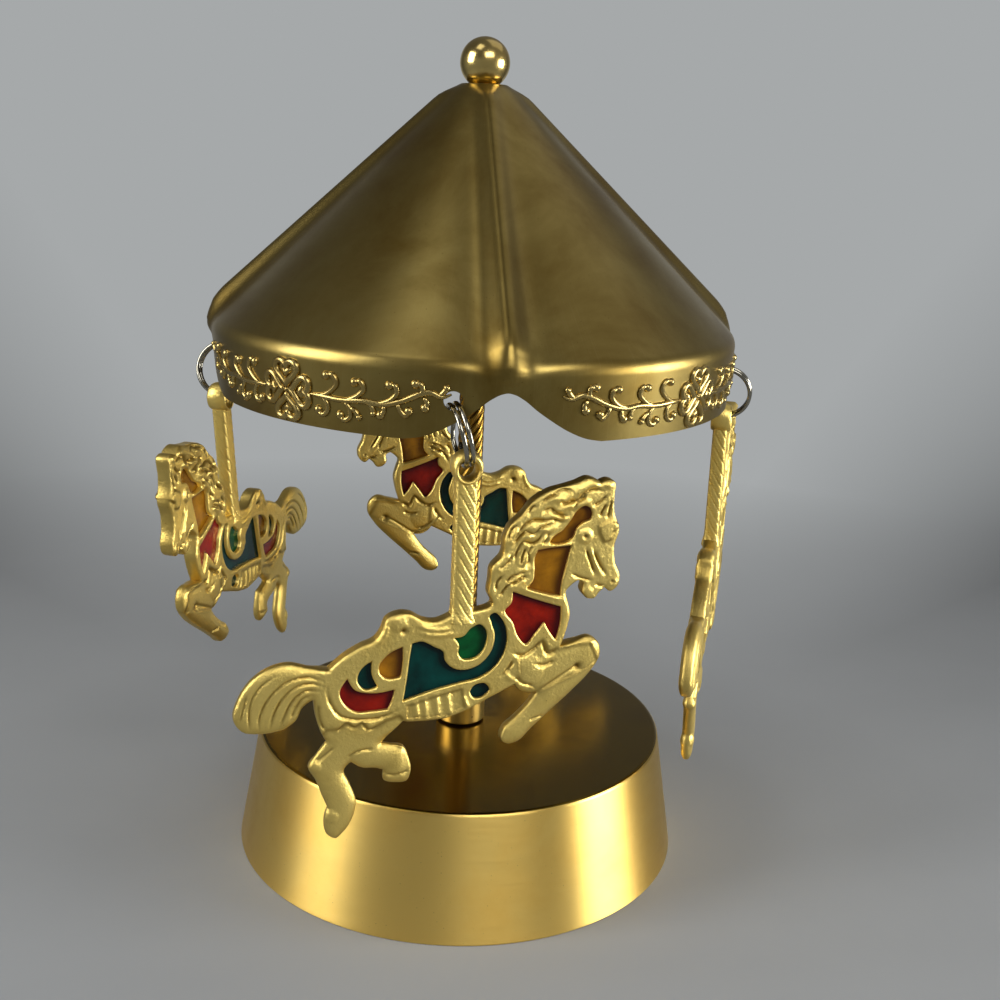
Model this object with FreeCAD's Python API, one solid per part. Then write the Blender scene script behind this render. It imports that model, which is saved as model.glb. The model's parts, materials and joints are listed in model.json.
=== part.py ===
# Carousel music box: a brass base with a wind-up movement inside, a twisted post through its top,
# a stamped canopy with a ball finial, and four pierced horses hung on split rings.
import math
import os

import FreeCAD
import Part

V = FreeCAD.Vector
UP = V(0, 0, 1)

# Base shell
BASE_BOTTOM_RADIUS = 50.0
BASE_TOP_RADIUS = 45.4
BASE_HEIGHT = 27.0
BASE_WALL = 0.8
BASE_EDGE_RADIUS = 0.9

# Bottom plate, set up inside the rim
PLATE_HEIGHT = 6.8
PLATE_THICKNESS = 1.0
PLATE_HOLE_CLEARANCE = 0.3

# Fits
RUNNING_CLEARANCE = 0.05
END_PLAY = 0.4
CUT_MARGIN = 1.0

# Post, collar and spindle
POST_RADIUS = 2.8
POST_FLUTE_DEPTH = 0.3
POST_STARTS = 8
POST_LEAD = 18.0
POST_GUIDE_RADIUS = 11.2
TIE_ROD_RADIUS = 1.5
TIE_ROD_CLEARANCE = 0.05
SPINDLE_RADIUS = 2.0
COLLAR_RADIUS = 5.5
COLLAR_HEIGHT = 6.0
COLLAR_SOCKET_DEPTH = 2.0
COLLAR_WEB = 0.8
COLLAR_EDGE = 0.4
BUSH_RADIUS = 4.5
BUSH_FLANGE_RADIUS = 6.5
BUSH_FLANGE_THICKNESS = 1.2

# Canopy
CANOPY_WALL = 0.6
ROOF_TOP_Z = 166.8
ROOF_FLAT_RADIUS = 4.4
ROOF_DOME_RADIUS = 7.4
ROOF_DOME_DROP = 2.2
ROOF_DOME_CREST = 0.36
SHOULDER_RADIUS = 54.8
SHOULDER_Z = 118.4
SHOULDER_ROUND = 1.6
SHOULDER_BULGE_OUT = 0.22
SHOULDER_BULGE_UP = 0.26
VALANCE_RADIUS = 54.0
VALANCE_BOTTOM_Z = 104.6
RIB_COUNT = 4
RIB_TOP_RADIUS = 2.4
RIB_BOTTOM_RADIUS = 4.2
RIB_TOP_RISE = 0.9
RIB_BOTTOM_RISE = 3.4
RIB_TOP_AT = 8.0
RIB_BOTTOM_AT = 53.0
NOTCH_HALF_WIDTH = 17.9
NOTCH_TOP_Z = 113.9
RING_HOLE_RADIUS = 1.5
RING_HOLE_Z = 112.0
RING_HOLE_DEG = 10.0

# Finial ball
BALL_RADIUS = 5.1
BALL_FOOT_RADIUS = 3.0
BALL_BORE_DEPTH = 4.0

# Split rings
RING_OUTER_DIAMETER = 12.0
RING_WIRE = 0.6
RING_TURN_GAP = 0.42
RING_DROP_IN_HOLE = 0.6
RING_LEAN_DEG = 14.0
RING_RAMP_DEG = 60.0

# Horses: the drawing is in its own units, with the eyelet hole at (0, EYE_V)
HORSE_SCALE = 1.035
HORSE_THICKNESS = 3.2
HORSE_EDGE = 0.7
ENAMEL_RECESS = 0.9
POLE_RADIUS = 1.95
POLE_FOOT_V = 71.0
EYE_V = 98.9
EYE_KNOB_V = 99.6
EYE_KNOB_RADIUS = 2.8
EYE_HOLE_RADIUS = 1.45
EYE_SEAT = 0.75
# How far each horse hangs turned about its pole, starting with the one at the front
HANG_YAW_DEG = (18.0, -11.0, 18.0, -11.0)
# How far each one hangs with its nose down
HANG_NOD_DEG = (0.0, -3.0, 0.0, 9.0)

# Movement: bedplate and heights
BED_THICKNESS = 2.5
BED_X0 = -14.0
BED_X1 = 39.0
BED_HALF_WIDTH = 20.0
BED_CORNER = 3.0
BED_BOSS_RADIUS = 4.0
BED_BOSS_HEIGHT = 0.6
CYLINDER_AXIS_Z = 17.6

# Movement: spring barrel, crown gear and winding
BARREL_RADIUS = 9.8
BARREL_WALL = 0.6
BARREL_TOP_WALL = 1.2
CROWN_MODULE = 0.7
CROWN_TEETH = 36
CROWN_FACE = 2.4
CROWN_DISC = 1.8
PINION_TEETH = 12
PINION_FACE = 2.0
ARBOR_RADIUS = 2.0
ARBOR_CORE_RADIUS = 3.0
ARBOR_STUB_RADIUS = 1.6
ARBOR_PIVOT_RADIUS = 1.0
ARBOR_PIVOT_LENGTH = 1.2
SPRING_THICKNESS = 0.3
SPRING_GAP = 0.45
SPRING_SIDE_PLAY = 0.4
KEY_SPAN = 22.0
KEY_HEIGHT = 4.4
KEY_THICKNESS = 1.6
KEY_HUB_RADIUS = 3.2
KEY_FLOOR_GAP = 1.2
KEY_PLATE_GAP = 0.5
KEY_HOLE_RADIUS = 1.2

# Movement: cylinder and comb
CYLINDER_RADIUS = 6.0
CYLINDER_X0 = 15.6
CYLINDER_X1 = 33.0
AXLE_RADIUS = 0.8
PIN_RADIUS = 0.25
PIN_HEIGHT = 0.35
PIN_COUNT = 54
COMB_TEETH = 18
COMB_SLOT = 0.25
COMB_THICKNESS = 0.8
COMB_MARGIN = 0.4
COMB_TIP_GAP = 0.2
COMB_SLOT_LENGTH = 5.4
COMB_SEAT_START = 6.0
COMB_DEPTH = 11.4
BRACKET_THICKNESS = 1.0
BRACKET_HALF_WIDTH = 2.0
BRACKET_HEAD = 2.4

# Movement: governor
WHEEL_MODULE = 0.34
WHEEL_TEETH = 36
WHEEL_FACE = 1.2
GOVERNOR_PINION_TEETH = 12
WORM_MODULE = 0.42
WORM_WHEEL_TEETH = 22
WORM_WHEEL_FACE = 1.0
WORM_PITCH_RADIUS = 1.5
WORM_HALF_LENGTH = 2.3
WORM_THREAD_HALF = 0.25
WORM_ADDENDUM = 0.7
FLY_SHAFT_RADIUS = 0.5
VANE_SPAN = 7.2
VANE_HEIGHT = 2.6
VANE_THICKNESS = 0.5
CAGE_SHEET = 0.7
TOOTH_HALF_SHARE = 0.19
TOOTH_ADDENDUM = 0.85
TOOTH_DEDENDUM = 1.2
TOOTH_ROOT_SHARE = 1.35
TOOTH_TIP_SHARE = 0.62
PART_GAP = 0.4

# Screws
SCREW_SHANK_RADIUS = 1.2
SCREW_HEAD_RADIUS = 2.3
SCREW_HEAD_HEIGHT = 1.3
SCREW_BITE = 2.2

# Values that follow from the sizes above
PLATE_TOP_Z = PLATE_HEIGHT + PLATE_THICKNESS
BED_TOP_Z = PLATE_TOP_Z + BED_THICKNESS
BASE_INNER_TOP_Z = BASE_HEIGHT - BASE_WALL
CROWN_RADIUS = CROWN_MODULE * CROWN_TEETH / 2
PINION_RADIUS = CROWN_MODULE * PINION_TEETH / 2
CROWN_PITCH_Z = CYLINDER_AXIS_Z - PINION_RADIUS
CROWN_ROOT_Z = CROWN_PITCH_Z - TOOTH_ADDENDUM * CROWN_MODULE
CROWN_BOTTOM_Z = CROWN_ROOT_Z - CROWN_DISC
BARREL_TOP_Z = CYLINDER_AXIS_Z + PINION_RADIUS
BARREL_CEILING_Z = BARREL_TOP_Z - BARREL_TOP_WALL
COLLAR_BOTTOM_Z = BASE_HEIGHT + END_PLAY
COLLAR_TOP_Z = COLLAR_BOTTOM_Z + COLLAR_HEIGHT
POST_BOTTOM_Z = COLLAR_TOP_Z - COLLAR_SOCKET_DEPTH
SPINDLE_TOP_Z = POST_BOTTOM_Z - COLLAR_WEB
POST_TOP_Z = ROOF_TOP_Z - CANOPY_WALL
KEY_TOP_Z = PLATE_HEIGHT - KEY_PLATE_GAP
PINION_X0 = CROWN_RADIUS - PINION_FACE / 2
WHEEL_X0 = CYLINDER_X1 + PART_GAP
WHEEL_RADIUS = WHEEL_MODULE * WHEEL_TEETH / 2
GOVERNOR_PINION_RADIUS = WHEEL_MODULE * GOVERNOR_PINION_TEETH / 2
GOVERNOR_Y = -(WHEEL_RADIUS + GOVERNOR_PINION_RADIUS)
WORM_WHEEL_RADIUS = WORM_MODULE * WORM_WHEEL_TEETH / 2
WORM_WHEEL_X0 = WHEEL_X0 + WHEEL_FACE + 2 * PART_GAP
FLY_X = WORM_WHEEL_X0 + WORM_WHEEL_FACE / 2
FLY_Y = GOVERNOR_Y - WORM_WHEEL_RADIUS - WORM_PITCH_RADIUS
CAGE_X0 = CYLINDER_X1 - CAGE_SHEET - 0.5 * PART_GAP
CAGE_X1 = WORM_WHEEL_X0 + WORM_WHEEL_FACE + 3 * PART_GAP
CAGE_Y0 = FLY_Y - VANE_SPAN / 2 - PART_GAP - CAGE_SHEET
CAGE_TOP_Z = CYLINDER_AXIS_Z + CYLINDER_RADIUS + CAGE_SHEET
EAR_TOP_Z = CYLINDER_AXIS_Z + BRACKET_HEAD - PART_GAP
VANE_Z0 = EAR_TOP_Z + PART_GAP
RING_RADIUS = (RING_OUTER_DIAMETER - RING_WIRE) / 2
RING_PITCH = RING_WIRE + RING_TURN_GAP
RING_HANG_Z = RING_HOLE_Z - RING_DROP_IN_HOLE
ROOF_SLOPE = math.atan2(ROOF_TOP_Z - ROOF_DOME_DROP - SHOULDER_Z, SHOULDER_RADIUS - ROOF_DOME_RADIUS)

# Notch beside each rib: share of the half width, share of the height
NOTCH_CURVE = ((1.0, 0.0), (0.84, 0.09), (0.67, 0.27), (0.49, 0.47), (0.31, 0.65), (0.15, 0.87), (0.0, 1.0))

# Horse outline, run by run: saddle and croup, tail, hind legs, belly, foreleg, head and mane
HORSE_OUTLINE = (
    ((-2.1, 72.6), (-5, 71.6), (-7.2, 72.1), (-9.4, 73.3), (-11.6, 73.4), (-13.6, 72.4), (-14.3, 70.6),
     (-15.4, 68.9), (-18, 67.7), (-21, 65.9), (-23.6, 63.6)),
    ((-23.6, 63.6), (-27, 64.2), (-30.6, 65.1), (-34, 64.3), (-37, 62.2), (-39.2, 58.8), (-40, 55.2),
     (-38.6, 53), (-35.2, 52.3), (-31.4, 52.8)),
    ((-31.4, 52.8), (-29.2, 54.4), (-28, 56.8), (-26.2, 58.1)),
    ((-26.2, 58.1), (-25.9, 55.4), (-25, 52.2), (-23.9, 49.8)),
    ((-23.9, 49.8), (-25.6, 47.4), (-27, 45.2), (-25.7, 42.4), (-24.6, 39.4), (-23.6, 36.9)),
    ((-23.6, 36.9), (-24.2, 34), (-23.6, 31.4), (-22.1, 30.4), (-20.4, 31.8), (-18.8, 34.8), (-18.4, 37.6),
     (-19.6, 41.2), (-20.6, 44), (-19.4, 45.4)),
    ((-19.4, 45.4), (-17.4, 44.1), (-15, 43.8), (-13.5, 43.3)),
    ((-13.5, 43.3), (-13.4, 41.3), (-11.4, 40.6), (-9.2, 40.8), (-8.5, 42.6), (-8.9, 45.4), (-10, 47.7),
     (-12, 48.3), (-14, 48.7)),
    ((-14, 48.7), (-12.4, 50.5), (-10.2, 52.8)),
    ((-10.2, 52.8), (-6, 52.7), (-2.4, 52.9)),
    ((-2.4, 52.9), (1.4, 54.2), (5.4, 56.2), (10.2, 58.6)),
    ((10.2, 58.6), (11.6, 57), (13.3, 56.5), (14.5, 56.6)),
    ((14.5, 56.6), (12.9, 54.2), (10.7, 51.9), (8.6, 49.8), (8.2, 47.6), (9.5, 46.6), (11.2, 46.9),
     (14, 49.5), (17.5, 52.8), (21.4, 56.4), (24.6, 59.8), (26.4, 63), (26, 65.5), (24.2, 66.9),
     (21.5, 66.3), (18.5, 65.5)),
    ((18.5, 65.5), (19.6, 69), (20, 71.8), (19.4, 74.2), (19, 76), (20, 77.2), (21.1, 78)),
    ((21.1, 78), (22.1, 77.4), (22, 75.8), (23, 74.5), (24.4, 74.4), (25.4, 75.6), (26.3, 76.4)),
    ((26.3, 76.4), (27.4, 75.6), (28.8, 76.6), (29.1, 78.4), (28, 81.2), (27.7, 84.4), (28.4, 87.2),
     (27.3, 90.4), (27.1, 94.2)),
    ((27.1, 94.2), (26.9, 96.2), (25.7, 96.6), (24.4, 96.1)),
    ((24.4, 96.1), (22, 97), (19.8, 96.2), (17.6, 95.6), (15, 94.9), (12, 93.1), (10, 90.6), (8, 88.7),
     (7, 86.2), (6.8, 83.4), (4.9, 81), (4.7, 78.6), (4.5, 76.4), (5.3, 74.4), (2.4, 73.3)),
    ((2.4, 73.3), (-2.1, 72.6)),
)

# Pierced cells by enamel colour, each a closed set of runs
CELLS = {
    "amber": (
        (((13.2, 84.1), (16.3, 84.5), (19.5, 84.7)),
         ((19.5, 84.7), (18.8, 81.3), (18.1, 77.9), (17.9, 75.3)),
         ((17.9, 75.3), (15.2, 75.9), (11.5, 77.1)),
         ((11.5, 77.1), (12.6, 78.4), (12.8, 80.4), (12.7, 82.6), (13.2, 84.1))),
        (((15.3, 85.4), (16.1, 86.6), (17.5, 87.5), (18.8, 89.1), (20.2, 91.2), (21.5, 92), (22.7, 91.3),
          (22.9, 89.6), (21.3, 88.8), (20.3, 87.8), (19.7, 86.2), (18.2, 85.3), (16.6, 85.1), (15.3, 85.4)),),
        (((-10.7, 67.3), (-10.6, 64.6), (-10.9, 61.6)),
         ((-10.9, 61.6), (-13.2, 61.4), (-14.6, 62.4), (-14.8, 63.9), (-13.6, 65.7), (-10.7, 67.3))),
    ),
    "red": (
        (((8.9, 76.6), (12.6, 75.1), (18.2, 73.2)),
         ((18.2, 73.2), (18.2, 69.8), (17.5, 66.8)),
         ((17.5, 66.8), (16.4, 68.2), (15.2, 70.3)),
         ((15.2, 70.3), (13.6, 68.2), (11.9, 66.3), (10.4, 67.8), (9.2, 70.7), (7.7, 73.1), (8.8, 74.4),
          (8.9, 76.6))),
        (((-20.4, 61.9), (-19, 59.7), (-16.2, 58.9), (-12, 59.3)),
         ((-12, 59.3), (-12.3, 57.5), (-13, 55.6)),
         ((-13, 55.6), (-16.1, 55.4), (-18.8, 55.5), (-20.8, 57), (-21.7, 59.4), (-20.4, 61.9))),
    ),
    "teal": (
        (((-9, 67.8), (-7.6, 68.1), (-5, 66.9), (-3.3, 65.8), (-3, 64.2), (-1.4, 62.6), (1, 62.2),
          (3.6, 63.2), (5.4, 65.4), (6, 68.2), (5.3, 70.8), (4.9, 72.2), (5.7, 72.7), (7.2, 71.4),
          (8.3, 68.4), (7.9, 65), (6.3, 62.3), (3.6, 60.5), (-0.2, 59.7), (-5, 58.6), (-10.4, 56.9)),
         ((-10.4, 56.9), (-9.8, 61.2), (-9.3, 65.8), (-9, 67.8))),
        (((1.8, 57.9), (2.5, 59), (4.3, 59.4)),
         ((4.3, 59.4), (5.1, 58.8), (5.5, 57.8)),
         ((5.5, 57.8), (3.6, 56.5), (2.4, 56.7), (1.8, 57.9))),
        (((-16.1, 65), (-16.1, 62.5), (-15, 60)),
         ((-15, 60), (-17.4, 59.7), (-18.6, 61.2), (-18.2, 63.2), (-16.1, 65))),
    ),
    "green": (
        (((-1.5, 68.4), (0.2, 68.6), (1.5, 70), (3.1, 70.7), (4.4, 69.4), (4.5, 67.2), (3.6, 65.1),
          (1.7, 64.1), (0, 64.4), (-0.6, 65.4), (-0.5, 66.9), (-1.5, 68.4)),),
    ),
}


def polar(radius, degrees, z=0.0):
    """Point at a radius and an angle about the vertical axis."""
    angle = math.radians(degrees)
    return V(radius * math.cos(angle), radius * math.sin(angle), z)


def cylinder(radius, z0, z1, x=0.0, y=0.0):
    """Upright round bar between two heights."""
    return Part.makeCylinder(radius, z1 - z0, V(x, y, z0))


def tube(outer, inner, z0, z1):
    """Upright tube between two heights."""
    return cylinder(outer, z0, z1).cut(cylinder(inner, z0, z1))


def box(x0, x1, y0, y1, z0, z1):
    """Block between two corners."""
    return Part.makeBox(x1 - x0, y1 - y0, z1 - z0, V(x0, y0, z0))


def revolve(edges):
    """Solid of revolution from profile edges in the plane of radius and height."""
    face = Part.Face(Part.Wire(edges))
    return face.revolve(V(0, 0, 0), UP, 360)


def profile_line(a, b):
    """Straight profile edge between two (radius, height) points."""
    return Part.makeLine(V(a[0], 0, a[1]), V(b[0], 0, b[1]))


def profile_arc(a, b, c):
    """Profile arc through three (radius, height) points."""
    return Part.Arc(V(a[0], 0, a[1]), V(b[0], 0, b[1]), V(c[0], 0, c[1])).toShape()


def lay_along_x(shape, x=0.0, y=0.0, z=0.0):
    """Turn a piece built along its own upright axis so that it lies along +X, then move it."""
    shape.Placement = FreeCAD.Placement(V(x, y, z), FreeCAD.Rotation(V(1, 1, 1), 120))
    return shape


def gear(module, teeth, face, bore, phase=0.0):
    """Spur gear about the upright axis, with straight-flanked teeth and a round bore."""
    pitch_radius = module * teeth / 2
    half = 2 * math.pi / teeth * TOOTH_HALF_SHARE
    steps = (
        (pitch_radius - TOOTH_DEDENDUM * module, -TOOTH_ROOT_SHARE),
        (pitch_radius + TOOTH_ADDENDUM * module, -TOOTH_TIP_SHARE),
        (pitch_radius + TOOTH_ADDENDUM * module, TOOTH_TIP_SHARE),
        (pitch_radius - TOOTH_DEDENDUM * module, TOOTH_ROOT_SHARE),
    )
    points = []
    for tooth in range(teeth):
        middle = phase + 2 * math.pi * tooth / teeth
        for radius, share in steps:
            points.append(polar(radius, math.degrees(middle + share * half)))
    wheel = Part.Face(Part.makePolygon(points + points[:1])).extrude(V(0, 0, face))
    return wheel.cut(cylinder(bore, 0, face))


def screw(x, y, seat_z, direction, bite):
    """Pan-head screw: the head stands on the seat, the shank goes the given way."""
    top = seat_z - direction * SCREW_HEAD_HEIGHT
    head = cylinder(SCREW_HEAD_RADIUS, min(seat_z, top), max(seat_z, top), x, y)
    end = seat_z + direction * bite
    return head.fuse(cylinder(SCREW_SHANK_RADIUS, min(seat_z, end), max(seat_z, end), x, y))


# Base

def base_radius(z):
    """Outer radius of the base at a height."""
    return BASE_BOTTOM_RADIUS + (BASE_TOP_RADIUS - BASE_BOTTOM_RADIUS) * z / BASE_HEIGHT


def base_inner_radius(z):
    """Inner radius of the base wall at a height."""
    return base_radius(z) - BASE_WALL


def base_shell():
    """Spun drum: sloping wall, flat top with a softened edge, and the hole for the bush."""
    outer = Part.makeCone(BASE_BOTTOM_RADIUS, BASE_TOP_RADIUS, BASE_HEIGHT)
    upper = [e for e in outer.Edges if e.BoundBox.ZMin > BASE_HEIGHT - BASE_WALL / 2]
    rim = [e for e in upper if e.Length > BASE_TOP_RADIUS]
    outer = outer.makeFillet(BASE_EDGE_RADIUS, rim)
    inner = Part.makeCone(base_inner_radius(0), base_inner_radius(BASE_INNER_TOP_Z), BASE_INNER_TOP_Z)
    return outer.cut(inner).cut(cylinder(BUSH_RADIUS, BASE_INNER_TOP_Z, BASE_HEIGHT))


def plate_screw_places():
    """Where the bedplate is screwed down."""
    inset = BED_CORNER + SCREW_HEAD_RADIUS
    y = BED_HALF_WIDTH - inset
    return ((BED_X0 + inset, y), (BED_X0 + inset, -y), (BED_X1 - inset, y), (BED_X1 - inset, -y))


def bottom_plate():
    """Plate wedged in the tapering wall, with holes for the arbor and the screws."""
    plate = Part.makeCone(base_inner_radius(PLATE_HEIGHT), base_inner_radius(PLATE_TOP_Z), PLATE_THICKNESS,
                          V(0, 0, PLATE_HEIGHT))
    plate = plate.cut(cylinder(ARBOR_RADIUS + PLATE_HOLE_CLEARANCE, PLATE_HEIGHT, PLATE_TOP_Z))
    for x, y in plate_screw_places():
        plate = plate.cut(cylinder(SCREW_SHANK_RADIUS, PLATE_HEIGHT, PLATE_TOP_Z, x, y))
    return plate


def plate_screws():
    """Screws from below, through the plate into the bedplate."""
    bite = PLATE_THICKNESS + SCREW_BITE
    return Part.Compound([screw(x, y, PLATE_HEIGHT, 1, bite) for x, y in plate_screw_places()])


def spindle_bush():
    """Flanged bearing bush, flush in the top of the base."""
    flange_z = BASE_INNER_TOP_Z - BUSH_FLANGE_THICKNESS
    bush = cylinder(BUSH_FLANGE_RADIUS, flange_z, BASE_INNER_TOP_Z)
    bush = bush.fuse(cylinder(BUSH_RADIUS, BASE_INNER_TOP_Z, BASE_HEIGHT))
    return bush.cut(cylinder(SPINDLE_RADIUS + RUNNING_CLEARANCE, flange_z, BASE_HEIGHT)).removeSplitter()


# Movement

def comb_seat_y():
    """Near and far edges of the comb, measured across the cylinder."""
    tip = CYLINDER_RADIUS + PIN_HEIGHT + COMB_TIP_GAP
    return tip, tip + COMB_DEPTH


def comb_z():
    """Underside of the comb, level with the cylinder axis."""
    return CYLINDER_AXIS_Z - COMB_THICKNESS / 2


def comb_screw_places():
    """Two screws through the back of the comb."""
    tip, back = comb_seat_y()
    y = (tip + COMB_SEAT_START + back) / 2
    quarter = (CYLINDER_X1 - CYLINDER_X0) / 4
    return ((CYLINDER_X0 + quarter, y), (CYLINDER_X1 - quarter, y))


def cage_screw_place():
    """One screw holds the governor cage down."""
    return CAGE_X0 - SCREW_HEAD_RADIUS, CAGE_Y0 + SCREW_HEAD_RADIUS + CAGE_SHEET


def movement_bedplate():
    """Cast bedplate with the arbor boss and the raised comb seat."""
    bed = box(BED_X0, BED_X1, -BED_HALF_WIDTH, BED_HALF_WIDTH, PLATE_TOP_Z, BED_TOP_Z)
    corners = [e for e in bed.Edges if e.BoundBox.ZLength > BED_THICKNESS / 2]
    bed = bed.makeFillet(BED_CORNER, corners)
    bed = bed.fuse(cylinder(BED_BOSS_RADIUS, BED_TOP_Z, BED_TOP_Z + BED_BOSS_HEIGHT))
    tip, back = comb_seat_y()
    bed = bed.fuse(box(CYLINDER_X0, CYLINDER_X1, tip + COMB_SEAT_START, back, BED_TOP_Z, comb_z()))
    bed = bed.cut(cylinder(ARBOR_RADIUS + RUNNING_CLEARANCE, PLATE_TOP_Z, BED_TOP_Z + BED_BOSS_HEIGHT))
    for x, y in plate_screw_places():
        bed = bed.cut(cylinder(SCREW_SHANK_RADIUS, PLATE_TOP_Z, PLATE_TOP_Z + SCREW_BITE, x, y))
    for x, y in comb_screw_places():
        bed = bed.cut(cylinder(SCREW_SHANK_RADIUS, comb_z() - SCREW_BITE, comb_z(), x, y))
    x, y = cage_screw_place()
    return bed.cut(cylinder(SCREW_SHANK_RADIUS, BED_TOP_Z - SCREW_BITE, BED_TOP_Z, x, y)).removeSplitter()


def comb():
    """Steel comb: one plate with its teeth slotted apart."""
    tip, back = comb_seat_y()
    x0 = CYLINDER_X0 + COMB_MARGIN
    x1 = CYLINDER_X1 - COMB_MARGIN
    z0 = comb_z()
    z1 = z0 + COMB_THICKNESS
    plate = box(x0, x1, tip, back, z0, z1)
    pitch = (x1 - x0) / COMB_TEETH
    half = COMB_SLOT / 2
    slots = []
    for index in range(1, COMB_TEETH):
        x = x0 + index * pitch
        slots.append(box(x - half, x + half, tip, tip + COMB_SLOT_LENGTH, z0, z1))
    holes = [cylinder(SCREW_SHANK_RADIUS, z0, z1, x, y) for x, y in comb_screw_places()]
    return plate.cut(slots + holes)


def comb_screws():
    """Screws that clamp the comb on its seat."""
    seat = comb_z() + COMB_THICKNESS
    bite = COMB_THICKNESS + SCREW_BITE
    return Part.Compound([screw(x, y, seat, -1, bite) for x, y in comb_screw_places()])


def bracket(x0):
    """Upright bearing for the cylinder axle, standing on the bedplate."""
    x1 = x0 + BRACKET_THICKNESS
    plate = box(x0, x1, -BRACKET_HALF_WIDTH, BRACKET_HALF_WIDTH, BED_TOP_Z, CYLINDER_AXIS_Z)
    head = cylinder(BRACKET_HALF_WIDTH, 0, BRACKET_THICKNESS)
    bore = cylinder(AXLE_RADIUS + RUNNING_CLEARANCE, 0, BRACKET_THICKNESS)
    plate = plate.fuse(lay_along_x(head, x0, 0, CYLINDER_AXIS_Z))
    return plate.cut(lay_along_x(bore, x0, 0, CYLINDER_AXIS_Z)).removeSplitter()


def bracket_places():
    """One bearing between pinion and drum, one beyond the wheel."""
    return CYLINDER_X0 - PART_GAP - BRACKET_THICKNESS, WHEEL_X0 + WHEEL_FACE + PART_GAP


def cylinder_brackets():
    """Both bearings of the cylinder axle."""
    return Part.Compound([bracket(x) for x in bracket_places()])


def crown_gear():
    """Disc that closes the barrel, with teeth standing up on its rim."""
    inner = CROWN_RADIUS - CROWN_FACE / 2
    outer = CROWN_RADIUS + CROWN_FACE / 2
    disc = tube(outer, ARBOR_RADIUS + RUNNING_CLEARANCE, CROWN_BOTTOM_Z, CROWN_ROOT_Z)
    half = 2 * math.pi * CROWN_RADIUS / CROWN_TEETH * TOOTH_HALF_SHARE
    top = CROWN_PITCH_Z + TOOTH_ADDENDUM * CROWN_MODULE
    section = (
        V(inner, -TOOTH_ROOT_SHARE * half, CROWN_ROOT_Z),
        V(inner, -TOOTH_TIP_SHARE * half, top),
        V(inner, TOOTH_TIP_SHARE * half, top),
        V(inner, TOOTH_ROOT_SHARE * half, CROWN_ROOT_Z),
    )
    tooth = Part.Face(Part.makePolygon(list(section) + [section[0]])).extrude(V(CROWN_FACE, 0, 0))
    tooth = tooth.common(cylinder(outer, CROWN_ROOT_Z, top))
    teeth = []
    for index in range(CROWN_TEETH):
        copy = tooth.copy()
        copy.rotate(V(0, 0, 0), UP, 360 * (index + 0.5) / CROWN_TEETH)
        teeth.append(copy)
    return disc.fuse(teeth).removeSplitter()


def spring_barrel():
    """Cup that holds the mainspring, upside down on the crown gear."""
    cup = tube(BARREL_RADIUS, BARREL_RADIUS - BARREL_WALL, CROWN_ROOT_Z, BARREL_TOP_Z)
    lid = tube(BARREL_RADIUS, SPINDLE_RADIUS, BARREL_CEILING_Z, BARREL_TOP_Z)
    return cup.fuse(lid).removeSplitter()


def spindle():
    """Shaft from the barrel through the bush into the collar."""
    bar = cylinder(SPINDLE_RADIUS, BARREL_CEILING_Z, SPINDLE_TOP_Z)
    end = BARREL_CEILING_Z + ARBOR_PIVOT_LENGTH + RUNNING_CLEARANCE
    return bar.cut(cylinder(ARBOR_PIVOT_RADIUS + RUNNING_CLEARANCE, BARREL_CEILING_Z, end))


def winding_arbor():
    """Arbor: stub in the key, journal through the plates, core in the spring, pivot in the spindle."""
    core_z0 = CROWN_ROOT_Z + RUNNING_CLEARANCE
    core_z1 = BARREL_CEILING_Z - RUNNING_CLEARANCE
    arbor = cylinder(ARBOR_STUB_RADIUS, KEY_FLOOR_GAP + KEY_PLATE_GAP, KEY_TOP_Z)
    arbor = arbor.fuse(cylinder(ARBOR_RADIUS, KEY_TOP_Z, core_z0))
    arbor = arbor.fuse(cylinder(ARBOR_CORE_RADIUS, core_z0, core_z1))
    end = BARREL_CEILING_Z + ARBOR_PIVOT_LENGTH - RUNNING_CLEARANCE
    return arbor.fuse(cylinder(ARBOR_PIVOT_RADIUS, core_z1, end)).removeSplitter()


def half_turn(centre, radius, first, z):
    """Half circle about a point on the X axis, starting on its right or its left."""
    reach = radius if first else -radius
    return Part.Arc(V(centre + reach, 0, z), V(centre, reach, z), V(centre - reach, 0, z)).toShape()


def mainspring():
    """Wound strip between arbor core and barrel wall, turn by turn of half circles."""
    pitch = SPRING_THICKNESS + SPRING_GAP
    inner = ARBOR_CORE_RADIUS + SPRING_GAP + pitch / 2
    room = BARREL_RADIUS - BARREL_WALL - SPRING_GAP - inner - pitch / 2
    halves = 2 * int(room / pitch)
    z0 = CROWN_ROOT_Z + SPRING_SIDE_PLAY
    outside = []
    inside = []
    for index in range(halves):
        centre = pitch / 4 if index % 2 else -pitch / 4
        radius = inner + index * pitch / 2
        outside.append(half_turn(centre, radius + SPRING_THICKNESS / 2, index % 2 == 0, z0))
        inside.append(half_turn(centre, radius - SPRING_THICKNESS / 2, index % 2 == 0, z0))
    starts = [edges[0].valueAt(edges[0].FirstParameter) for edges in (inside, outside)]
    ends = [edges[-1].valueAt(edges[-1].LastParameter) for edges in (inside, outside)]
    caps = [Part.makeLine(*starts), Part.makeLine(*ends)]
    strip = Part.Face(Part.Wire(Part.__sortEdges__(outside + inside + caps)))
    print("mainspring least gap between turns", round(pitch - SPRING_THICKNESS, 3))
    return strip.extrude(V(0, 0, BARREL_CEILING_Z - SPRING_SIDE_PLAY - z0))


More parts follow.
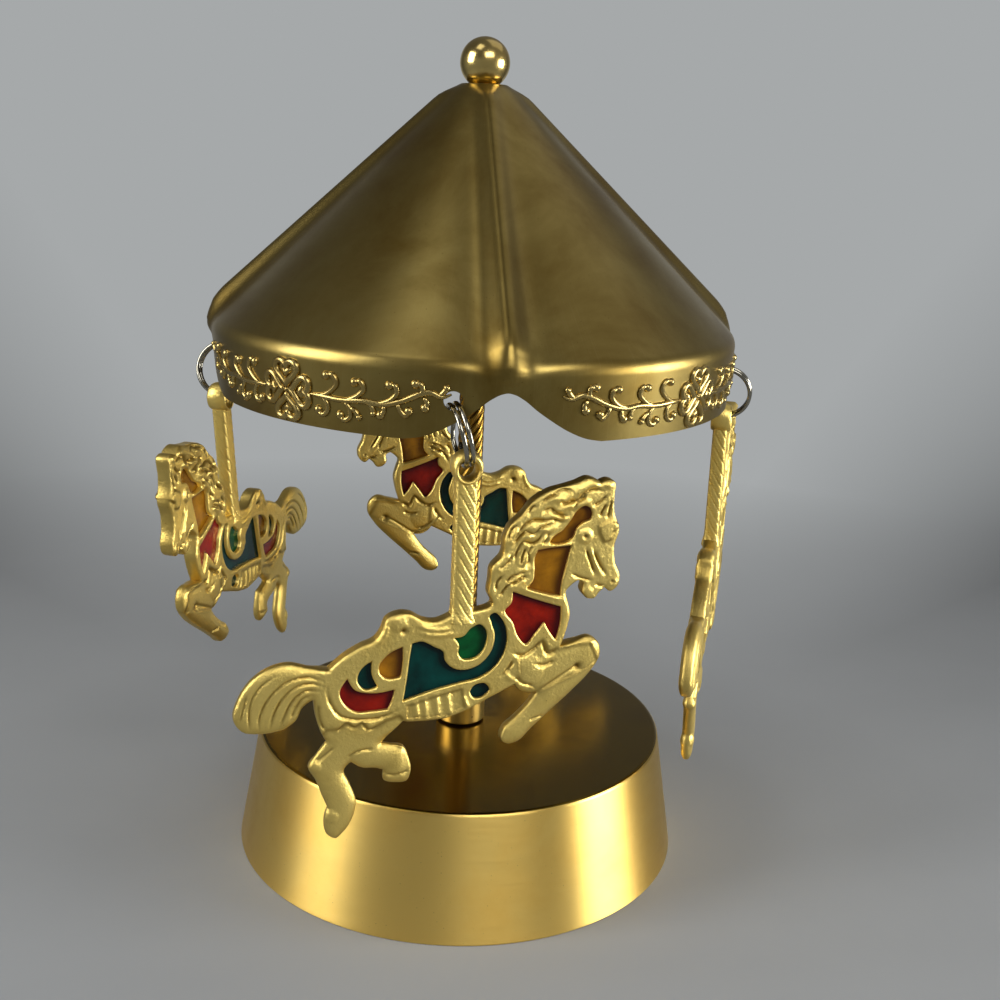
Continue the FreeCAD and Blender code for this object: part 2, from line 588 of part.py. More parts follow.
def winding_key():
    """Wing key: a hub on the arbor stub and a pierced flat wing."""
    z0 = KEY_FLOOR_GAP
    wing_z1 = z0 + KEY_HEIGHT
    half = KEY_THICKNESS / 2
    end = KEY_SPAN / 2 - KEY_HEIGHT / 2
    wing = box(-end, end, -half, half, z0, wing_z1)
    middle = (z0 + wing_z1) / 2
    for x in (-end, end):
        wing = wing.fuse(Part.makeCylinder(KEY_HEIGHT / 2, KEY_THICKNESS, V(x, -half, middle), V(0, 1, 0)))
    for x in (-end, end):
        wing = wing.cut(Part.makeCylinder(KEY_HOLE_RADIUS, KEY_THICKNESS, V(x, -half, middle), V(0, 1, 0)))
    key = wing.fuse(cylinder(KEY_HUB_RADIUS, z0, KEY_TOP_Z))
    return key.cut(cylinder(ARBOR_STUB_RADIUS, z0 + KEY_PLATE_GAP, KEY_TOP_Z)).removeSplitter()


def cylinder_pinion():
    """Pinion on the axle, one tooth down between two crown teeth."""
    pinion = gear(CROWN_MODULE, PINION_TEETH, PINION_FACE, AXLE_RADIUS)
    return lay_along_x(pinion, PINION_X0, 0, CYLINDER_AXIS_Z)


def cylinder_axle():
    """Axle through pinion, drum and wheel, borne at both ends."""
    x0 = PINION_X0 - PART_GAP
    x1 = bracket_places()[1] + BRACKET_THICKNESS + PART_GAP
    return lay_along_x(cylinder(AXLE_RADIUS, 0, x1 - x0), x0, 0, CYLINDER_AXIS_Z)


def music_cylinder():
    """Drum with its pins, a few to each comb tooth."""
    length = CYLINDER_X1 - CYLINDER_X0
    pitch = (length - 2 * COMB_MARGIN) / COMB_TEETH
    drum = tube(CYLINDER_RADIUS, AXLE_RADIUS, 0, length)
    pins = []
    for index in range(PIN_COUNT):
        along = COMB_MARGIN + (index * 5 % COMB_TEETH + 0.5) * pitch
        direction = polar(1, 360.0 * index / PIN_COUNT + 3)
        start = direction * (CYLINDER_RADIUS - PIN_HEIGHT) + V(0, 0, along)
        pins.append(Part.makeCylinder(PIN_RADIUS, 2 * PIN_HEIGHT, start, direction))
    return lay_along_x(drum.fuse(pins), CYLINDER_X0, 0, CYLINDER_AXIS_Z)


def cylinder_wheel():
    """Wheel on the far end of the axle, driving the governor."""
    wheel = gear(WHEEL_MODULE, WHEEL_TEETH, WHEEL_FACE, AXLE_RADIUS)
    return lay_along_x(wheel, WHEEL_X0, 0, CYLINDER_AXIS_Z)


def governor_wheel():
    """Governor shaft with its pinion and worm wheel in one piece."""
    x0 = CAGE_X0
    shaft = cylinder(AXLE_RADIUS, 0, CAGE_X1 - x0)
    half_tooth = math.pi / GOVERNOR_PINION_TEETH
    pinion = gear(WHEEL_MODULE, GOVERNOR_PINION_TEETH, WHEEL_FACE, AXLE_RADIUS, half_tooth)
    pinion.translate(V(0, 0, WHEEL_X0 - x0))
    wheel = gear(WORM_MODULE, WORM_WHEEL_TEETH, WORM_WHEEL_FACE, AXLE_RADIUS)
    wheel.translate(V(0, 0, WORM_WHEEL_X0 - x0))
    return lay_along_x(shaft.fuse([pinion, wheel]).removeSplitter(), x0, GOVERNOR_Y, CYLINDER_AXIS_Z)


def governor_fly():
    """Fly: upright shaft with a single-start worm, and a two-blade vane that fans the air."""
    lead = math.pi * WORM_MODULE
    root = WORM_PITCH_RADIUS - TOOTH_DEDENDUM * WORM_MODULE
    tip = WORM_PITCH_RADIUS + WORM_ADDENDUM * WORM_MODULE
    z0 = CYLINDER_AXIS_Z + lead / 4 - 2 * lead
    height = 3 * lead
    helix = Part.makeHelix(lead, height, WORM_PITCH_RADIUS)
    inside = root - PIN_RADIUS
    section = (
        V(inside, 0, -1.7 * WORM_THREAD_HALF),
        V(tip, 0, -0.6 * WORM_THREAD_HALF),
        V(tip, 0, 0.6 * WORM_THREAD_HALF),
        V(inside, 0, 1.7 * WORM_THREAD_HALF),
    )
    profile = Part.makePolygon(list(section) + [section[0]])
    thread = Part.Wire(helix.Edges).makePipeShell([profile], True, True)
    thread.translate(V(0, 0, z0))
    core = cylinder(root, z0 - WORM_THREAD_HALF * 2, z0 + height + WORM_THREAD_HALF * 2)
    shaft = cylinder(FLY_SHAFT_RADIUS, BED_TOP_Z + PART_GAP / 2, CAGE_TOP_Z - PART_GAP / 2)
    half = VANE_THICKNESS / 2
    vane = box(-VANE_SPAN / 2, VANE_SPAN / 2, -half, half, VANE_Z0, VANE_Z0 + VANE_HEIGHT)
    fly = core.fuse([thread, shaft, vane])
    fly.translate(V(FLY_X, FLY_Y, 0))
    return fly


def governor_cage():
    """Bent sheet cage: foot, back, top tongue and the two ears that bear the governor shaft."""
    foot_z = BED_TOP_Z + CAGE_SHEET
    ear_y0 = GOVERNOR_Y - BRACKET_HALF_WIDTH
    ear_y1 = -(CYLINDER_RADIUS + PIN_HEIGHT + PART_GAP / 2)
    lug_x = CAGE_X0 - 2 * SCREW_HEAD_RADIUS
    foot = box(CAGE_X0, CAGE_X1, CAGE_Y0, ear_y1, BED_TOP_Z, foot_z)
    lug = box(lug_x, CAGE_X0, CAGE_Y0, CAGE_Y0 + 2 * SCREW_HEAD_RADIUS + 2 * CAGE_SHEET, BED_TOP_Z, foot_z)
    back = box(CAGE_X0, CAGE_X1, CAGE_Y0, CAGE_Y0 + CAGE_SHEET, BED_TOP_Z, CAGE_TOP_Z)
    tongue = box(FLY_X - BRACKET_HALF_WIDTH, FLY_X + BRACKET_HALF_WIDTH, CAGE_Y0, FLY_Y + BRACKET_HALF_WIDTH,
                 CAGE_TOP_Z - CAGE_SHEET, CAGE_TOP_Z)
    ear_places = (CAGE_X0, CAGE_X1 - CAGE_SHEET)
    ears = [box(x, x + CAGE_SHEET, ear_y0, ear_y1, foot_z, EAR_TOP_Z) for x in ear_places]
    cage = foot.fuse([lug, back, tongue] + ears)
    journal = cylinder(AXLE_RADIUS + RUNNING_CLEARANCE, 0, CAGE_X1 - CAGE_X0)
    pivot = cylinder(FLY_SHAFT_RADIUS + RUNNING_CLEARANCE, BED_TOP_Z, CAGE_TOP_Z, FLY_X, FLY_Y)
    x, y = cage_screw_place()
    hole = cylinder(SCREW_SHANK_RADIUS, BED_TOP_Z, foot_z, x, y)
    journal = lay_along_x(journal, CAGE_X0, GOVERNOR_Y, CYLINDER_AXIS_Z)
    return cage.cut([journal, pivot, hole]).removeSplitter()


def cage_screw():
    """Screw through the lug of the governor cage."""
    x, y = cage_screw_place()
    return screw(x, y, BED_TOP_Z + CAGE_SHEET, -1, CAGE_SHEET + SCREW_BITE)


# Post and canopy

def post_collar():
    """Ferrule that joins spindle, tie rod and post."""
    collar = cylinder(COLLAR_RADIUS, COLLAR_BOTTOM_Z, COLLAR_TOP_Z)
    edges = [e for e in collar.Edges if e.BoundBox.ZLength < COLLAR_EDGE]
    collar = collar.makeFillet(COLLAR_EDGE, edges)
    collar = collar.cut(cylinder(SPINDLE_RADIUS, COLLAR_BOTTOM_Z, SPINDLE_TOP_Z))
    collar = collar.cut(cylinder(TIE_ROD_RADIUS, SPINDLE_TOP_Z, POST_BOTTOM_Z))
    return collar.cut(cylinder(POST_RADIUS + RUNNING_CLEARANCE, POST_BOTTOM_Z, COLLAR_TOP_Z))


def center_post():
    """Twisted tube: a lobed section carried up the axis while it turns with the lay of the rope."""
    length = POST_TOP_Z - POST_BOTTOM_Z
    edges = []
    step = 360.0 / POST_STARTS
    valley = POST_RADIUS - POST_FLUTE_DEPTH
    for index in range(POST_STARTS):
        start = polar(valley, index * step)
        crest = polar(POST_RADIUS, (index + 0.5) * step)
        end = polar(valley, (index + 1) * step)
        edges.append(Part.Arc(start, crest, end).toShape())
    spine = Part.Wire([Part.makeLine(V(0, 0, 0), V(0, 0, length))])
    guide = Part.Wire(Part.makeHelix(POST_LEAD, length, POST_GUIDE_RADIUS).Edges)
    sweep = Part.BRepOffsetAPI.MakePipeShell(spine)
    sweep.setAuxiliarySpine(guide, True, 0)
    sweep.add(Part.Wire(edges))
    sweep.build()
    sweep.makeSolid()
    post = sweep.shape().cut(cylinder(TIE_ROD_RADIUS + TIE_ROD_CLEARANCE, 0, length))
    post.translate(V(0, 0, POST_BOTTOM_Z))
    return post


def tie_rod():
    """Rod inside the post, from the collar up into the ball."""
    return cylinder(TIE_ROD_RADIUS, SPINDLE_TOP_Z, ROOF_TOP_Z + BALL_BORE_DEPTH)


def finial_ball():
    """Ball with a flat foot, bored for the tie rod."""
    centre = ROOF_TOP_Z + math.sqrt(BALL_RADIUS ** 2 - BALL_FOOT_RADIUS ** 2)
    ball = Part.makeSphere(BALL_RADIUS, V(0, 0, centre))
    ball = ball.cut(cylinder(2 * BALL_RADIUS, ROOF_TOP_Z - BALL_RADIUS, ROOF_TOP_Z))
    return ball.cut(cylinder(TIE_ROD_RADIUS, ROOF_TOP_Z, ROOF_TOP_Z + BALL_BORE_DEPTH))


def canopy_body(inset):
    """Filled roof and valance, drawn in by the inset; with none it is the outside of the sheet."""
    top = ROOF_TOP_Z - inset
    sine = math.sin(ROOF_SLOPE)
    flat = ROOF_FLAT_RADIUS - inset / 2
    dome_r = ROOF_DOME_RADIUS - inset * sine
    dome_z = ROOF_TOP_Z - ROOF_DOME_DROP - inset * math.cos(ROOF_SLOPE)
    run = SHOULDER_ROUND * math.cos(ROOF_SLOPE)
    drop = SHOULDER_ROUND * sine
    eave_r = SHOULDER_RADIUS - run - inset * sine
    eave_z = SHOULDER_Z + drop - inset * math.cos(ROOF_SLOPE)
    side_r = SHOULDER_RADIUS - inset
    side_z = SHOULDER_Z - SHOULDER_ROUND
    bottom = VALANCE_BOTTOM_Z - inset
    crest_r = (flat + dome_r) / 2
    crest_z = top - (top - dome_z) * ROOF_DOME_CREST
    turn_r = (eave_r + side_r) / 2 + SHOULDER_BULGE_OUT * SHOULDER_ROUND
    turn_z = (eave_z + side_z) / 2 + SHOULDER_BULGE_UP * SHOULDER_ROUND
    return revolve([
        profile_line((0, bottom), (0, top)),
        profile_line((0, top), (flat, top)),
        profile_arc((flat, top), (crest_r, crest_z), (dome_r, dome_z)),
        profile_line((dome_r, dome_z), (eave_r, eave_z)),
        profile_arc((eave_r, eave_z), (turn_r, turn_z), (side_r, side_z)),
        profile_line((side_r, side_z), (VALANCE_RADIUS - inset, bottom)),
        profile_line((VALANCE_RADIUS - inset, bottom), (0, bottom)),
    ])


def roof_z(radius):
    """Height of the outside of the roof at a radius."""
    return SHOULDER_Z + (SHOULDER_RADIUS - radius) * math.tan(ROOF_SLOPE)


def rib_body(inset, degrees):
    """Tapered round rib along the roof, drawn in by the inset, with ball ends."""
    ends = []
    top = (RIB_TOP_AT, RIB_TOP_RADIUS, RIB_TOP_RISE)
    bottom = (RIB_BOTTOM_AT, RIB_BOTTOM_RADIUS, RIB_BOTTOM_RISE)
    for radius, size, rise in (top, bottom):
        sink = size - rise
        at = V(radius - sink * math.sin(ROOF_SLOPE), 0, roof_z(radius) - sink * math.cos(ROOF_SLOPE))
        ends.append((at, size - inset))
    (start, small), (end, large) = ends
    axis = end - start
    body = Part.makeCone(small, large, axis.Length, start, axis)
    body = body.fuse([Part.makeSphere(small, start), Part.makeSphere(large, end)])
    body.rotate(V(0, 0, 0), UP, degrees)
    return body


def notch_cutter(degrees):
    """Rounded notch in the valance under a rib, cut straight through the sheet."""
    height = NOTCH_TOP_Z - VALANCE_BOTTOM_Z
    points = []
    for across, up in NOTCH_CURVE:
        points.append(V(VALANCE_RADIUS / 2, -NOTCH_HALF_WIDTH * across, VALANCE_BOTTOM_Z + height * up))
    points += [V(p.x, -p.y, p.z) for p in reversed(points[:-1])]
    curve = Part.BSplineCurve()
    curve.interpolate(points)
    below = V(0, 0, -height)
    sides = Part.makePolygon([points[-1], points[-1] + below, points[0] + below, points[0]])
    face = Part.Face(Part.Wire([curve.toShape()] + sides.Edges))
    cutter = face.extrude(V(VALANCE_RADIUS, 0, 0))
    cutter.rotate(V(0, 0, 0), UP, degrees)
    return cutter


def rib_degrees():
    """Angles of the ribs, the first one at the front."""
    return [-90 + 360.0 * index / RIB_COUNT for index in range(RIB_COUNT)]


def ring_degrees():
    """Angles of the ring holes, each just clockwise of its rib."""
    return [degrees - RING_HOLE_DEG for degrees in rib_degrees()]


def canopy():
    """Stamped sheet: outside less inside, then the notches, the ring holes and the rod hole."""
    floor = cylinder(2 * SHOULDER_RADIUS, 0, VALANCE_BOTTOM_Z)
    outside = canopy_body(0.0).fuse([rib_body(0.0, degrees) for degrees in rib_degrees()])
    inside = canopy_body(CANOPY_WALL).fuse([rib_body(CANOPY_WALL, degrees) for degrees in rib_degrees()])
    cutters = [notch_cutter(degrees) for degrees in rib_degrees()]
    for degrees in ring_degrees():
        start = polar(VALANCE_RADIUS / 2, degrees, RING_HOLE_Z)
        cutters.append(Part.makeCylinder(RING_HOLE_RADIUS, VALANCE_RADIUS, start, polar(1, degrees)))
    rod_hole = TIE_ROD_RADIUS + TIE_ROD_CLEARANCE
    cutters.append(cylinder(rod_hole, POST_TOP_Z - CUT_MARGIN, ROOF_TOP_Z + CUT_MARGIN))
    return outside.cut(inside).cut(floor).cut(cutters)


# Rings and horses

def ring_height(degrees):
    """Sideways place of the ring wire: two flat turns with one ramp between them."""
    start = 360 - RING_RAMP_DEG / 2
    share = min(max((degrees - start) / RING_RAMP_DEG, 0.0), 1.0)
    return RING_PITCH / 2 * -math.cos(math.pi * share)


def ring_point(degrees):
    """Point on the middle line of the ring wire."""
    return polar(RING_RADIUS, degrees, ring_height(degrees))


def hang_turn(index):
    """Turn of a ring and its horse about the upright axis, from the front of the object."""
    return HANG_YAW_DEG[index] + ring_degrees()[index] + 90


def hang_point(index):
    """Where the ring wire passes through the middle of the valance sheet."""
    return polar(VALANCE_RADIUS - CANOPY_WALL / 2, ring_degrees()[index], RING_HANG_Z)


def eyelet_point(index):
    """Middle of the eyelet hole, just under the low point of the leaning ring."""
    lean = math.radians(RING_LEAN_DEG)
    low = V(2 * RING_RADIUS * math.sin(lean), 0, -2 * RING_RADIUS * math.cos(lean) - EYE_SEAT)
    return hang_point(index) + FreeCAD.Rotation(UP, hang_turn(index)).multVec(low)


def split_ring(index):
    """Double-wound ring through its valance hole, leaning and turned the way it hangs."""
    half = RING_RAMP_DEG / 2
    flat = (360 - RING_RAMP_DEG) / 4
    stops = [half + flat * step for step in range(5)]
    stops += [360 - half + half * step / 2 for step in range(1, 5)]
    stops += [360 + half + flat * step for step in range(1, 5)]
    edges = []
    for first, last in zip(stops, stops[1:]):
        middle = ring_point((first + last) / 2)
        edges.append(Part.Arc(ring_point(first), middle, ring_point(last)).toShape())
    tangent = edges[0].tangentAt(edges[0].FirstParameter)
    profile = Part.Wire([Part.makeCircle(RING_WIRE / 2, ring_point(stops[0]), tangent)])
    ring = Part.Wire(edges).makePipeShell([profile], True, False)
    points = [ring_point(stops[0] + step) for step in range(0, int(stops[-1] - stops[0]), 5)]
    apart = min(a.distanceToPoint(b) for i, a in enumerate(points) for b in points[i + 36:])
    if index == 0:
        print("split ring least gap between turns", round(apart - RING_WIRE, 3))
    lay_along_x(ring, 0, 0, -RING_RADIUS)
    ring.rotate(V(0, 0, 0), V(0, 1, 0), -RING_LEAN_DEG)
    ring.rotate(V(0, 0, 0), UP, hang_turn(index))
    ring.translate(hang_point(index))
    return ring


def horse_point(place):
    """Drawing point in the plane of the horse, with the eyelet hole at the origin."""
    return V(place[0] * HORSE_SCALE, 0, (place[1] - EYE_V) * HORSE_SCALE)


def drawn_wire(runs):
    """Closed wire from runs of points: a curve through each run, corners where runs meet."""
    edges = []
    for run in runs:
        if len(run) == 2:
            edges.append(Part.makeLine(horse_point(run[0]), horse_point(run[1])))
        else:
            curve = Part.BSplineCurve()
            curve.interpolate([horse_point(place) for place in run])
            edges.append(curve.toShape())
    return Part.Wire(edges)


def plate_from(runs, thickness):
    """Flat plate of the given thickness, halved by the plane of the horse."""
    plate = Part.Face(drawn_wire(runs)).extrude(V(0, thickness, 0))
    plate.translate(V(0, -thickness / 2, 0))
    return plate


def across_bar(radius, thickness, v):
    """Round bar through the thickness of the horse on the line of its pole."""
    return Part.makeCylinder(radius, thickness, horse_point((0, v)) + V(0, -thickness / 2, 0), V(0, 1, 0))


def horse_casting():
    """Pierced casting: chamfered outline, pole and eyelet, less the enamel cells and the eyelet hole."""
    half = HORSE_THICKNESS / 2
    plate = plate_from(HORSE_OUTLINE, HORSE_THICKNESS)
    flat = [e for e in plate.Edges if e.BoundBox.YLength < half / 2]
    rims = [e for e in flat if abs(abs(e.CenterOfMass.y) - half) < half / 2]
    plate = plate.makeChamfer(HORSE_EDGE, rims)
    foot = horse_point((0, POLE_FOOT_V))
    head = horse_point((0, EYE_KNOB_V))
    pole = Part.makeCylinder(POLE_RADIUS, head.z - foot.z, foot)
    knob = across_bar(EYE_KNOB_RADIUS, HORSE_THICKNESS, EYE_KNOB_V)
    knob = knob.makeFillet(HORSE_EDGE, [e for e in knob.Edges if e.BoundBox.YLength < half])
    casting = plate.fuse([pole, knob])
    cutters = [plate_from(runs, 2 * HORSE_THICKNESS) for cells in CELLS.values() for runs in cells]
    cutters.append(across_bar(EYE_HOLE_RADIUS, 2 * HORSE_THICKNESS, EYE_V))
    return casting.cut(cutters)


def enamel(colour):
    """Enamel of one colour, filling its cells a little below the metal on both faces."""
    thickness = HORSE_THICKNESS - 2 * ENAMEL_RECESS
    return Part.Compound([plate_from(runs, thickness) for runs in CELLS[colour]])


def hang(shape, index):
    """Place a horse piece: eyelet on its ring, turned and nodding the way it hangs."""
    placed = shape.copy()
    nod = FreeCAD.Rotation(V(0, 1, 0), HANG_NOD_DEG[index])
    turn = FreeCAD.Rotation(UP, hang_turn(index))
    placed.Placement = FreeCAD.Placement(eyelet_point(index), turn.multiply(nod))
    return placed


def main():
    """Build every piece and write one file for each."""
    os.makedirs("parts", exist_ok=True)
    nodes = {
        "base_shell": base_shell(),
        "bottom_plate": bottom_plate(),
        "plate_screws": plate_screws(),
        "spindle_bush": spindle_bush(),
        "movement_bedplate": movement_bedplate(),
        "comb": comb(),
        "comb_screws": comb_screws(),
        "cylinder_brackets": cylinder_brackets(),
        "governor_cage": governor_cage(),
        "cage_screw": cage_screw(),
        "winding_key": winding_key(),
        "winding_arbor": winding_arbor(),
        "mainspring": mainspring(),
        "spring_barrel": spring_barrel(),
        "crown_gear": crown_gear(),
        "spindle": spindle(),
        "post_collar": post_collar(),
        "center_post": center_post(),
        "tie_rod": tie_rod(),
        "canopy": canopy(),
        "finial_ball": finial_ball(),
        "music_cylinder": music_cylinder(),
        "cylinder_axle": cylinder_axle(),
        "cylinder_pinion": cylinder_pinion(),
        "cylinder_wheel": cylinder_wheel(),
        "governor_wheel": governor_wheel(),
        "governor_fly": governor_fly(),
    }
    casting = horse_casting()
    fills = {colour: enamel(colour) for colour in CELLS}
    for index in range(RIB_COUNT):
        nodes["split_ring_%d" % (index + 1)] = split_ring(index)
        nodes["horse_%d" % (index + 1)] = hang(casting, index)
        for colour, fill in fills.items():
            nodes["%s_enamel_%d" % (colour, index + 1)] = hang(fill, index)
    for name, shape in nodes.items():
        shape.exportStep("parts/%s.step" % name)
        print(name, len(shape.Solids), round(shape.Volume, 2), shape.isValid())


main()
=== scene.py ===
"""Looks of the carousel music box: the stamped canopy and its scroll band, the cast horses with their
enamel, the wound rings, the turned base, and a finish for every piece."""

import json
import logging
import math
from dataclasses import dataclass
from enum import Enum
from functools import cache
from typing import Sequence

import bmesh
import bpy
import numpy as np
from mathutils import Matrix, Vector
from mathutils.geometry import delaunay_2d_cdt


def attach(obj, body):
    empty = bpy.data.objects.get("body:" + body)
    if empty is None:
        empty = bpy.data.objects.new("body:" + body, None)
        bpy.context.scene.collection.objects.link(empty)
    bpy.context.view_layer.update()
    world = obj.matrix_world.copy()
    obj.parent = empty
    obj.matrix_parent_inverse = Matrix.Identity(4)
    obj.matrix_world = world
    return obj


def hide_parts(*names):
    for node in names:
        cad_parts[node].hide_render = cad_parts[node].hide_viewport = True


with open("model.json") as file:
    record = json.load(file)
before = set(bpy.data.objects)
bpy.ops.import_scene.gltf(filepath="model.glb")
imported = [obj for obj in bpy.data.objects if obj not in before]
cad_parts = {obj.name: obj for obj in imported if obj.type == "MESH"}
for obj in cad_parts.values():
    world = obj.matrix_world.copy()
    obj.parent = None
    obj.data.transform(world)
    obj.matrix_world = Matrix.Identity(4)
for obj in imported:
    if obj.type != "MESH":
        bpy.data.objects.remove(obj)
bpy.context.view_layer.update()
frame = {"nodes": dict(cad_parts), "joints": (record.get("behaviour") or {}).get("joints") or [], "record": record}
JOINTS = {joint["name"]: joint for joint in frame["joints"]}
HORSES = range(1, 5)
MM = 0.001
FULL_TURN = 2 * math.pi
log = logging.getLogger("carousel_music_box")

Point = tuple[float, float]
Run = Sequence[Point]
Colour = tuple[int, int, int]
Place = tuple[float, float, float]


# Curves and distances on flat drawings


def around(count: int) -> np.ndarray:
    """Angles all the way round, evenly spaced."""
    return np.linspace(0.0, FULL_TURN, count, endpoint=False)


def circle(count: int) -> np.ndarray:
    """Points of a circle of radius 1, one row each."""
    angles = around(count)
    return np.column_stack([np.cos(angles), np.sin(angles)])


def eased(share: np.ndarray) -> np.ndarray:
    """Ease a share from 0 to 1 in and out."""
    return share ** 2 * (3 - 2 * share)


def between(ends: Point, share: np.ndarray) -> np.ndarray:
    """Values a share of the way from one end to the other."""
    return ends[0] + share * (ends[1] - ends[0])


def curve_through(points: Run, step: float) -> np.ndarray:
    """Draw a smooth curve through points.

    Args:
        points: Drawn points, in order.
        step: Distance between the points of the result.

    Returns:
        Points along the curve, one row each.
    """
    knots = np.asarray(points, dtype=float)
    gaps = np.linalg.norm(np.diff(knots, axis=0), axis=1)
    slopes = np.diff(knots, axis=0) / gaps[:, None]
    tangents = np.vstack([slopes[:1], slopes])
    if len(knots) > 2:
        weighted = slopes[:-1] * gaps[1:, None] + slopes[1:] * gaps[:-1, None]
        tangents[1:-1] = weighted / (gaps[:-1] + gaps[1:])[:, None]
        tangents[0] = 1.5 * slopes[0] - 0.5 * tangents[1]
        tangents[-1] = 1.5 * slopes[-1] - 0.5 * tangents[-2]
    starts = np.concatenate([[0.0], np.cumsum(gaps)])
    places = np.linspace(0.0, starts[-1], max(round(starts[-1] / step), 1) + 1)
    index = np.clip(np.searchsorted(starts, places, side="right") - 1, 0, len(gaps) - 1)
    gap = gaps[index][:, None]
    t = (places - starts[index])[:, None] / gap
    bend = tangents[index] * gap * (t ** 3 - 2 * t ** 2 + t)
    bend += tangents[index + 1] * gap * (t ** 3 - t ** 2)
    return bend + knots[index] * (2 * t ** 3 - 3 * t ** 2 + 1) + knots[index + 1] * (3 * t ** 2 - 2 * t ** 3)


def loop_of(runs: Sequence[Run], step: float) -> np.ndarray:
    """Join runs that meet at their ends into one closed loop of points, a step apart."""
    return np.vstack([curve_through(run, step)[:-1] for run in runs])


def nearest_on(places: np.ndarray, path: np.ndarray) -> tuple[np.ndarray, np.ndarray]:
    """Measure from places to a path.

    Args:
        places: Points to measure from, one row each.
        path: Points of the path, in order.

    Returns:
        The distance of each place, and the share of the path's length at its nearest point.
    """
    lengths = np.linalg.norm(np.diff(path, axis=0), axis=1)
    starts = np.concatenate([[0.0], np.cumsum(lengths)])
    best = np.full(len(places), np.inf)
    share = np.zeros(len(places))
    for start, end, length, before in zip(path[:-1], path[1:], lengths, starts):
        along = np.clip((places - start) @ (end - start) / length ** 2, 0.0, 1.0)
        away = np.linalg.norm(places - start - along[:, None] * (end - start), axis=1)
        closer = away < best
        best[closer] = away[closer]
        share[closer] = (before + along[closer] * length) / starts[-1]
    return best, share


def round_loop(loop: np.ndarray) -> np.ndarray:
    """Repeat a loop's first point at its end."""
    return np.vstack([loop, loop[:1]])


def is_inside(places: np.ndarray, loop: np.ndarray) -> np.ndarray:
    """Tell which places lie inside a closed loop."""
    x, y = places.T
    inside = np.zeros(len(places), dtype=bool)
    for (x0, y0), (x1, y1) in zip(loop, np.roll(loop, -1, axis=0)):
        if y0 == y1:
            continue
        crosses = (y0 > y) != (y1 > y)
        inside ^= crosses & (x < (x1 - x0) * (y - y0) / (y1 - y0) + x0)
    return inside


def inset_rows(loop: np.ndarray, insets: Sequence[float], inward: bool) -> np.ndarray:
    """Lay rows of points along a loop, at set distances from it.

    Args:
        loop: Closed loop of points.
        insets: Distances of the rows from the loop.
        inward: Whether the rows lie inside the loop or outside it.

    Returns:
        The points that keep their distance, so that rows do not cross in tight corners.
    """
    along = np.roll(loop, -1, axis=0) - np.roll(loop, 1, axis=0)
    across = np.column_stack([-along[:, 1], along[:, 0]]) / np.linalg.norm(along, axis=1)[:, None]
    area = np.sum(loop[:, 0] * np.roll(loop[:, 1], -1) - np.roll(loop[:, 0], -1) * loop[:, 1])
    if (area > 0) != inward:
        across = -across
    kept_share = 0.93
    rows = []
    for inset in insets:
        row = loop + across * inset
        away, _ = nearest_on(row, round_loop(loop))
        rows.append(row[away > kept_share * inset])
    return np.vstack(rows)


def rounded_profile(corners: Sequence[tuple[float, float, float]], steps: int = 8) -> np.ndarray:
    """Round the corners of a closed profile.

    Args:
        corners: Radius, height and corner round of each corner, in order.
        steps: Points on each rounded corner.

    Returns:
        Points of the profile, with one close beside each rounded corner to keep the flats flat.
    """
    beside = 0.12
    points: list[np.ndarray] = []
    count = len(corners)
    for index, (radius, height, size) in enumerate(corners):
        here = np.array([radius, height])
        if size == 0.0:
            points.append(here)
            continue
        back = np.array(corners[index - 1][:2]) - here
        ahead = np.array(corners[(index + 1) % count][:2]) - here
        back /= np.linalg.norm(back)
        ahead /= np.linalg.norm(ahead)
        half_angle = math.acos(float(np.clip(back @ ahead, -1.0, 1.0))) / 2
        run = size / math.tan(half_angle)
        middle = back + ahead
        centre = here + middle / np.linalg.norm(middle) * size / math.sin(half_angle)
        first, last = here + back * run - centre, here + ahead * run - centre
        sweep = math.pi - 2 * half_angle
        points.append(here + back * (run + beside))
        for step in range(steps + 1):
            share = step / steps
            turned = math.sin((1 - share) * sweep) * first + math.sin(share * sweep) * last
            points.append(centre + turned / math.sin(sweep))
        points.append(here + ahead * (run + beside))
    return np.array(points)


# Meshes


